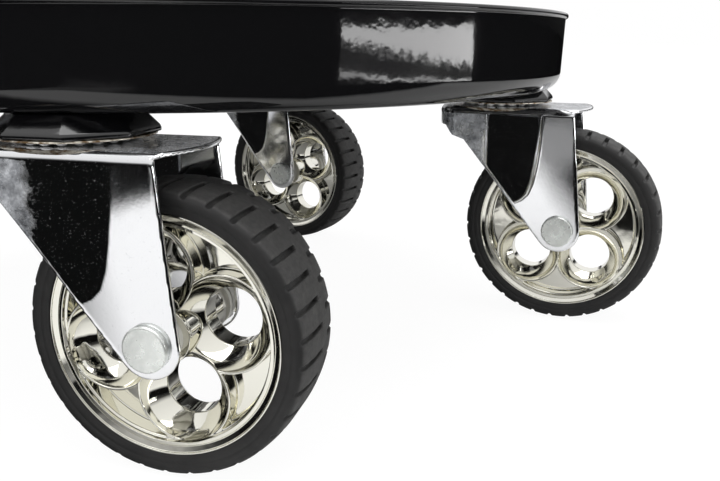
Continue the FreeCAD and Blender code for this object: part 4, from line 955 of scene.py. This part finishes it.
def hex_body(name, across_flats, low, high, bore=0.0, chamfer_low=True, chamfer_high=True):
    """Hexagon whose corners are turned off to a cone, with a bore through it."""
    count = 48
    flat_r, cone_r = across_flats / 2, across_flats / 2 * 0.97
    reach = [flat_r / math.cos((a + math.pi / 6) % (math.pi / 3) - math.pi / 6) for a in angles_of(count)]
    drops = [(r - cone_r) * 0.58 for r in reach]
    face, cone = [flat_r * 0.94] * count, [min(r, cone_r) for r in reach]
    rows = [(face, [low] * count), (cone, [low + 0.08] * count),
            (reach, [low + (drop if chamfer_low else 0.15) for drop in drops]),
            (reach, [high - (drop if chamfer_high else 0.15) for drop in drops]),
            (cone, [high - 0.08] * count), (face, [high] * count)]
    if bore:
        inside, mouth = [bore] * count, [bore + 0.6] * count
        rows = [(inside, [low + 0.6] * count), (mouth, [low] * count), *rows,
                (mouth, [high] * count), (inside, [high - 0.6] * count)]
    return through_rings(name, [circle(*row, angles_of(count)) for row in rows], bool(bore), smooth=False)


def four_shown(name, parts, radius, turn_deg, body, replaced):
    """A zinc-plated fastener of closed parts, moved out along X, then set round Z four times."""
    out = Matrix.Rotation(math.radians(turn_deg), 4, "Z") @ Matrix.Translation((radius * MM, 0, 0))
    for part in parts:
        part.transform(out)
    mesh = grown(joined(name, *parts), set_round, Copies=4, Weld=0.0, Finish=zinc)
    shown(name, mesh, body, zinc, "zinc", replaced)


stem_bar = lathe("stem_bar", [
    (0, STEM_LOW), (8.3, STEM_LOW), (9.4, STEM_LOW + 0.4), (10, STEM_LOW + 1.5), (10, 139.0), (9.8, 139.2),
    (6, 139.2), (6, 142.4), (9.7, 142.4), (10, 142.7), (10, 152.2), (9.7, 152.5), (6, 152.5),
    (6, THREAD_LOW + 0.4), (0, THREAD_LOW + 0.4)], 48)
stem_thread = threaded("stem_thread", STEM_R, THREAD_LOW, STEM_TOP, THREAD_PITCH, THREAD_DEPTH)
four_shown("stems_threaded", [stem_bar, stem_thread], SWIVEL_CIRCLE_R, 0.0, "base", "caster_stems")
nut = hex_body("caster_nut", 19.0, 159.6, 169.6, STEM_R, chamfer_low=False)
four_shown("caster_nuts_hex", [nut], SWIVEL_CIRCLE_R, 0.0, "base", "caster_nuts")
refined("caster_washers_split", "caster_washers", "base", zinc, "zinc", 0.25)


# Column socket: a heavy steel flange bolted through the tray, with a tapered tube and
# four gussets welded to it, painted black like the seat plate.
FLANGE_R = 60.0
FLANGE_LOW = 157.0
FLANGE_TOP = 161.0
SOCKET_R = 30.0
SOCKET_TOP = 215.0
SOCKET_FILLET = 3.2
SOCKET_BOLT_CIRCLE_R = 46.0

frame_black = surface("frame_black", (0.012, 0.012, 0.013), 0.34, Specular_IOR_Level=0.5,
                      tones=((30.0, 5.0), (0.35, (0.010, 0.010, 0.011)), (0.8, (0.020, 0.020, 0.021))),
                      gloss=((70.0, 4.0), (0.3, 0.26), (0.75, 0.44)), grain=[((900.0, 3.0), 0.00015, 0.35)])[0]
socket = lathe("socket", rounded(
    [(25.0, FLANGE_LOW), (FLANGE_R, FLANGE_LOW), (FLANGE_R, FLANGE_TOP), (SOCKET_R + SOCKET_FILLET, FLANGE_TOP),
     (SOCKET_R, FLANGE_TOP + SOCKET_FILLET), (SOCKET_R, SOCKET_TOP), (25.05, SOCKET_TOP)],
    [0.2, 0.5, 1.0, 1.6, 1.6, 1.2, 0.5]), 160)
shown("socket_welded", socket, "base", frame_black, "frame_black", "column_socket")
refined("gussets_welded", "socket_gussets", "base", frame_black, "frame_black", 0.7, 3)

bolt_head = hex_body("bolt_head", M8_FLATS, FLANGE_TOP, FLANGE_TOP + 5.3, chamfer_low=False)
bolt_thread = threaded("bolt_thread", M8_R, 146.5, FLANGE_TOP + 1.0, M8_PITCH, M8_DEPTH)
four_shown("socket_bolts_hex", [bolt_head, bolt_thread], SOCKET_BOLT_CIRCLE_R, 45.0, "base", "socket_bolts")
nut = hex_body("socket_nut", M8_FLATS, 149.0, 155.5, M8_R)
four_shown("socket_nuts_hex", [nut], SOCKET_BOLT_CIRCLE_R, 45.0, "base", "socket_nuts")


# Gas column: a satin black outer tube wedged in the socket, a nylon guide bushing in its
# mouth, and inside it the ground and plated pressure tube that carries the seat.
COLUMN_R = 25.0
COLUMN_IN_R = 23.5
COLUMN_LOW = 150.0
COLUMN_TOP = 340.0
TUBE_R = 14.0
TUBE_LOW = 173.05
TUBE_TOP = 382.0
TUBE_TAPER_R = 13.1

column_black = surface("column_black", (0.010, 0.010, 0.010), 0.27, Specular_IOR_Level=0.5,
                       gloss=((45.0, 5.0), (0.3, 0.20), (0.75, 0.36)), grain=[((650.0, 3.0), 0.0001, 0.3)])[0]
column = lathe("column", rounded(
    [(5.05, COLUMN_LOW), (24.2, COLUMN_LOW), (COLUMN_R, SOCKET_TOP), (COLUMN_R, COLUMN_TOP),
     (COLUMN_IN_R, COLUMN_TOP), (COLUMN_IN_R, SOCKET_TOP), (22.75, COLUMN_LOW + 4), (5.05, COLUMN_LOW + 4)],
    [0.3, 1.0, 0, 0.4, 0.3, 0, 0.3, 0.3]), 160)
shown("column_drawn", column, "base", column_black, "column_black", "column_tube")

nylon = surface("nylon", (0.016, 0.016, 0.017), 0.42, gloss=((120.0,), (0.3, 0.36), (0.7, 0.50)),
                grain=[((500.0,), 0.0001, 0.3)])[0]
bushing = lathe("bushing", rounded(
    [(14.05, 262.0), (COLUMN_IN_R, 262.0), (COLUMN_IN_R, COLUMN_TOP), (COLUMN_R, COLUMN_TOP), (COLUMN_R, 341.2),
     (23.2, 342.0), (14.05, 342.0)], [0.4, 0.6, 0, 0.2, 0.6, 0.8, 0.5]), 128)
shown("bushing_moulded", bushing, "base", nylon, "nylon", "column_bushing")

rod_steel, tree, shader, place = surface("rod_steel", (0.80, 0.80, 0.81), 0.12, 1.0)
turned = node(tree, "ShaderNodeMapping", named={"Vector": place, "Scale": (1.0, 1.0, 90.0)}).outputs[0]
link(tree, ramp(tree, noise(tree, turned, 12.0, 4.0), (0.3, 0.08), (0.75, 0.20)), shader.inputs["Roughness"])
tube = lathe("pressure_tube", rounded(
    [(11.5, 350.0), (11.5, TUBE_LOW), (TUBE_R, TUBE_LOW), (TUBE_R, TUBE_TOP - 36.0),
     (TUBE_TAPER_R, TUBE_TOP), (4.0, TUBE_TOP), (4.0, 357.0), (0.0, 357.0), (0.0, 350.0)],
    [0, 0.4, 0.6, 0, 0.8, 0.4, 0, 0, 0]), 96)
shown("pressure_tube_ground", tube, "seat", rod_steel, "rod_steel", "pressure_tube")


# Seat plate: pressed and welded steel, a flange under the board, a sunk box for the lever
# and a taper hub on the column, held by four bolts into T-nuts in the board.
SEAT_BOLT_CIRCLE_R = 98.995
PLATE_TOP = 402.5
BOARD_TOP = 414.5

refined("seat_plate_pressed", "seat_plate", "seat", frame_black, "frame_black", 0.8, 3)
refined("lever_pin_riveted", "lever_pin", "seat", zinc, "zinc", 0.4)
bolt_head = hex_body("seat_bolt_head", M8_FLATS, 394.7, 400.0, chamfer_high=False)
bolt_thread = threaded("seat_bolt_thread", M8_R, 399.0, 413.3, M8_PITCH, M8_DEPTH)
four_shown("seat_bolts_hex", [bolt_head, bolt_thread], SEAT_BOLT_CIRCLE_R, 45.0, "seat", "seat_bolts")
refined("t_nuts_pressed", "t_nuts", "seat", zinc, "zinc", 0.2)


# Release lever: a chromed 8 mm rod with a flattened inner arm on a pin, bent out under
# the seat, with a ribbed black grip pushed on its end.
GRIP_LOW = 156.0
GRIP_HIGH = 214.0
GRIP_R = 8.0
GRIP_BORE_R = 4.0
GRIP_Z = 369.7
GRIP_RIBS = 12
RIB_STEP = 3.4
RIB_DEPTH = 0.7

lever_chrome = surface("lever_chrome", (0.88, 0.885, 0.90), 0.07, 1.0,
                       gloss=((90.0, 4.0), (0.3, 0.05), (0.8, 0.14)), grain=[((300.0, 3.0), 0.00006, 0.2)])[0]
refined("release_lever_bent", "release_lever", "lever", lever_chrome, "lever_chrome", 0.6, 3, 40.0)

grip_plastic = surface("grip_plastic", (0.014, 0.014, 0.014), 0.5,
                       gloss=((300.0, 4.0), (0.3, 0.42), (0.75, 0.60)), grain=[((1200.0, 3.0), 0.0001, 0.5)])[0]
grip = [(GRIP_BORE_R, GRIP_LOW), (GRIP_R - 1.6, GRIP_LOW), (GRIP_R - 0.4, GRIP_LOW + 0.6), (GRIP_R, GRIP_LOW + 2.0)]
for k in range(GRIP_RIBS):
    at = GRIP_LOW + 6.0 + RIB_STEP * k
    grip += [(GRIP_R, at), (GRIP_R - RIB_DEPTH, at + 0.6), (GRIP_R - RIB_DEPTH, at + 1.3), (GRIP_R, at + 1.9)]
grip += arc_points(GRIP_R - 3.0, GRIP_HIGH - 3.0, 3.0, 0, 90, 8)
grip += [(0.0, GRIP_HIGH), (0.0, GRIP_HIGH - 6.0), (GRIP_BORE_R, GRIP_HIGH - 6.0)]
grip = lathe("grip", grip, 48)
grip.transform(Matrix.Translation((0, 0, GRIP_Z * MM)) @ Matrix.Rotation(math.pi / 2, 4, "Y"))
shown("grip_ribbed", grip, "lever", grip_plastic, "grip_plastic", "lever_grip")


# Seat board: a 12 mm birch plywood disc whose five plies show at its edge.
PLY_PAIR = 0.0048

plywood, tree, shader, place = surface("plywood", (0.55, 0.38, 0.22), 0.6)
along = node(tree, "ShaderNodeMapping", named={"Vector": place, "Scale": (3.0, 42.0, 1.0)}).outputs[0]
grain = noise(tree, along, 6.0, 8.0, 0.65)
face = ramp(tree, grain, (0.30, (0.38, 0.24, 0.125)), (0.62, (0.60, 0.43, 0.26)))
height = node(tree, "ShaderNodeSeparateXYZ", place).outputs["Z"]
ply = math_node(tree, "MODULO", product(tree, height, 1.0 / PLY_PAIR), 1.0)
layers = ramp(tree, ply, (0.40, (0.58, 0.42, 0.26)), (0.52, (0.30, 0.18, 0.09)), (0.98, (0.34, 0.21, 0.11)))
facing = node(tree, "ShaderNodeSeparateXYZ", node(tree, "ShaderNodeNewGeometry").outputs["Normal"])
upright = ramp(tree, math_node(tree, "ABSOLUTE", facing.outputs["Z"]), (0.4, 0.0), (0.6, 1.0))
link(tree, mixed(tree, upright, layers, face), shader.inputs["Base Color"])
link(tree, bump(tree, grain, 0.0003, 0.4), shader.inputs["Normal"])
refined("seat_board_cut", "seat_board", "seat", plywood, "plywood", 0.8, 3)


# Seat cushion: foam under black vinyl, a domed top panel sewn to a side band with piping
# between them, drawn round the board's edge. The cover is swelled by a cloth simulation.
CUSHION_R = 180.0
SEAM_R = 175.5
SEAM_Z = 451.5
CUSHION_TOP = 470.5
BOARD_CLEAR_R = 168.4
PIPING_R = 3.0
START_INSET = 1.6
SWELL_MOST = 4.0
VOXEL = 0.005
FRAMES = 20
PUCKERS = 58
PUCKER_DEPTH = 0.9
TOP_STITCHES = 190
STITCH_ROW_R = 164.0
PATH_POINTS = 256


def dome_height(r):
    """The top panel's height over the seam, which falls away towards it."""
    return (CUSHION_TOP - SEAM_Z) * (1 - np.clip(r / SEAM_R, 0, 1) ** 2.6)


def cushion_outline(inset):
    seam_r, seam_z, low = SEAM_R - inset, SEAM_Z - inset, PLATE_TOP
    top = [(r, seam_z + dome_height(r / seam_r * SEAM_R)) for r in np.linspace(0, seam_r, 26)]
    side = [(seam_r + (CUSHION_R - SEAM_R) * math.sin(math.pi * t), seam_z + (low + 3 - seam_z) * t)
            for t in np.linspace(0.06, 0.94, 12)]
    return top + side + [(seam_r - 1.0, low + 1.0), (seam_r - 3.5, low), (0, low)]


def swelled(mesh):
    """Cover blown up a little from inside by a cloth simulation, held at seam and board."""
    even = with_modifiers(mesh, ("REMESH", {"mode": "VOXEL", "voxel_size": VOXEL}))
    start = points_of(even)
    pad = placed("pad", even)
    r, z = np.hypot(start[:, 0], start[:, 1]) / MM, start[:, 2] / MM
    held = pad.vertex_groups.new(name="held")
    at_seam = (np.abs(z - SEAM_Z + START_INSET) < 2.6) & (r > SEAM_R - START_INSET - 3.5)
    on_board = z < PLATE_TOP + 4.0
    held.add([int(i) for i in np.flatnonzero(at_seam | on_board)], 1.0, "REPLACE")
    cloth = pad.modifiers.new("cloth", "CLOTH")
    settings = {"quality": 6, "mass": 0.3, "tension_stiffness": 18, "compression_stiffness": 14,
                "bending_stiffness": 1.2, "use_pressure": True, "uniform_pressure_force": 4.0,
                "vertex_group_mass": "held"}
    for name, value in settings.items():
        setattr(cloth.settings, name, value)
    cloth.settings.effector_weights.gravity = 0.0
    cloth.point_cache.frame_start = 1
    cloth.point_cache.frame_end = FRAMES
    for step in range(1, FRAMES + 1):
        bpy.context.scene.frame_set(step)
    move = points_of(evaluated(pad)) - start
    bpy.data.objects.remove(pad)
    bpy.context.scene.frame_set(1)
    size = np.linalg.norm(move, axis=1)
    move *= (np.minimum(size, SWELL_MOST * MM) / np.maximum(size, 1e-9))[:, None]
    return even, start + move


def sewn(points):
    """Draws the cover in at the seam, with small puckers that fade away from it."""
    r, z = np.hypot(points[:, 0], points[:, 1]) / MM, points[:, 2] / MM
    angle = np.arctan2(points[:, 1], points[:, 0])
    away = np.hypot(r - SEAM_R, z - SEAM_Z)
    wave = np.sin(PUCKERS * angle + 1.6 * np.sin(7 * angle)) * np.sin(23 * angle + 0.7)
    inward = 0.7 * np.exp(-(away / 4.2) ** 2) + PUCKER_DEPTH * wave * np.exp(-((away - 8.0) / 14.0) ** 2)
    row = 0.9 * np.exp(-((r - STITCH_ROW_R) / 2.2) ** 2) * (z > SEAM_Z - 2)
    towards = np.array([0, 0, BOARD_TOP * MM]) - points
    towards[:, :2] *= 0.45
    towards /= np.linalg.norm(towards, axis=1)[:, None]
    inward = np.where(z > PLATE_TOP + 3.0, inward + row, 0.0)
    return points + towards * (inward * MM)[:, None]


def cushion_mesh():
    """The swelled and sewn cover, with the pocket that takes the board cut out below."""
    mesh, points = swelled(lathe("cover", cushion_outline(START_INSET), 96))
    mesh.vertices.foreach_set("co", sewn(points).ravel())
    mesh.update()
    low, high = PLATE_TOP - 6, BOARD_TOP + 0.4
    outline = [(0, low), (BOARD_CLEAR_R, low), (BOARD_CLEAR_R, high), (0, high)]
    pocket = placed("pocket", lathe("pocket", outline, 192))
    out = with_modifiers(mesh, ("SUBSURF", {"levels": 1, "render_levels": 1}),
                         ("BOOLEAN", {"operation": "DIFFERENCE", "object": pocket, "solver": "EXACT"}))
    bpy.data.objects.remove(pocket)
    out.polygons.foreach_set("use_smooth", [True] * len(out.polygons))
    return out


vinyl, tree, shader, place = surface(
    "vinyl", (0.008, 0.008, 0.009), 0.34, Specular_IOR_Level=0.5,
    tones=((14.0, 5.0), (0.35, (0.007, 0.007, 0.008)), (0.8, (0.013, 0.013, 0.014))),
    gloss=((60.0, 4.0), (0.3, 0.28), (0.75, 0.42)))
cells = node(tree, "ShaderNodeTexVoronoi", feature="DISTANCE_TO_EDGE", named={"Vector": place, "Scale": 620.0})
creases = bump(tree, ramp(tree, cells.outputs["Distance"], (0.0, 0.0), (0.16, 1.0)), 0.00016, 0.35)
link(tree, bump(tree, noise(tree, place, 1500.0, 2.0), 0.00004, 0.25, creases), shader.inputs["Normal"])
pad = shown("seat_cushion", cushion_mesh(), "seat", vinyl, "vinyl", "seat_cover", "seat_foam")


def ring_path(name, radius, heights):
    """Closed path of edges round Z, with a height for each point."""
    count = len(heights)
    mesh = bpy.data.meshes.new(name)
    edges = [(i, (i + 1) % count) for i in range(count)]
    mesh.from_pydata(circle([radius] * count, heights, angles_of(count)), edges, [])
    return mesh


def cord_tree():
    """A round cord along a path given as edges."""
    tree, given, result = nodes_tree("cord_along_path", Radius="Float")
    curve = node(tree, "GeometryNodeMeshToCurve", given["Geometry"])
    profile = node(tree, "GeometryNodeCurvePrimitiveCircle", named={"Resolution": 20, "Radius": given["Radius"]})
    cord = node(tree, "GeometryNodeCurveToMesh", curve.outputs[0], profile.outputs[0])
    return tree_ended(tree, given, result, cord.outputs[0])


def stitches_tree():
    """Short threads set along a path, each lying in its direction."""
    tree, given, result = nodes_tree("stitches_along_path", Count="Int", Length="Float", Thread="Float")
    curve = node(tree, "GeometryNodeMeshToCurve", given["Geometry"])
    spots = node(tree, "GeometryNodeCurveToPoints", curve.outputs[0], named={"Count": given["Count"]})
    thread = node(tree, "GeometryNodeMeshUVSphere", named={"Segments": 8, "Rings": 5, "Radius": 0.5})
    sizes = node(tree, "ShaderNodeCombineXYZ", given["Thread"], given["Thread"], given["Length"]).outputs[0]
    shape = node(tree, "GeometryNodeTransform", thread.outputs[0], named={"Scale": sizes})
    laid = node(tree, "GeometryNodeInstanceOnPoints", spots.outputs["Points"],
                named={"Instance": shape.outputs[0], "Rotation": spots.outputs["Rotation"]})
    return tree_ended(tree, given, result, laid.outputs[0])


def surface_heights(radius, count):
    """Height of the finished cushion's top at points on a circle, in millimetres."""
    bpy.context.view_layer.update()
    ready = pad.evaluated_get(bpy.context.evaluated_depsgraph_get())
    heights = []
    for x, y, z in circle([radius] * count, [600.0] * count, angles_of(count)):
        found, spot, _, _ = ready.ray_cast(Vector((x, y, z)), Vector((0, 0, -1)))
        heights.append(spot.z / MM if found else SEAM_Z)
    return heights


seam = ring_path("seam", SEAM_R, [SEAM_Z] * PATH_POINTS)
piping = grown(seam, cord_tree(), Radius=PIPING_R * MM, Finish=vinyl)
shown("seat_piping_sewn", piping, "seat", vinyl, "vinyl", "seat_piping")

thread_black = surface("thread", (0.035, 0.035, 0.037), 0.6,
                       tones=((900.0,), (0.3, (0.02, 0.02, 0.021)), (0.7, (0.06, 0.06, 0.062))))[0]
row = ring_path("stitch_row", STITCH_ROW_R, [z + 0.15 for z in surface_heights(STITCH_ROW_R, PATH_POINTS)])
stitches = grown(row, stitches_tree(), Count=TOP_STITCHES, Length=0.0042, Thread=0.0009, Finish=thread_black)
shown("top_stitches", stitches, "seat", thread_black, "vinyl")


# Pieces inside the column, wheels and casters, which keep their CAD shape
def painted(material, *names):
    for name in names:
        materials = bpy.data.objects[name].data.materials
        materials.clear()
        materials.append(material)


painted(surface("soft_rubber", (0.015, 0.015, 0.015), 0.7, grain=[((700.0,), 0.0001, 0.4)])[0],
        "rod_seal", "rod_bumper")
painted(surface("bearing_steel", (0.62, 0.61, 0.60), 0.2, 1.0, gloss=((300.0,), (0.3, 0.14), (0.7, 0.3)))[0],
        "thrust_bearing")
painted(surface("hub_nylon", (0.70, 0.69, 0.64), 0.38,
                tones=((200.0,), (0.3, (0.66, 0.65, 0.60)), (0.7, (0.74, 0.73, 0.68))))[0],
        *(caster + "_hub_bush" for caster in CASTERS))
painted(zinc, "rod_clip", "valve_button", *(caster + "_axle_sleeve" for caster in CASTERS))
painted(rod_steel, "piston_rod")
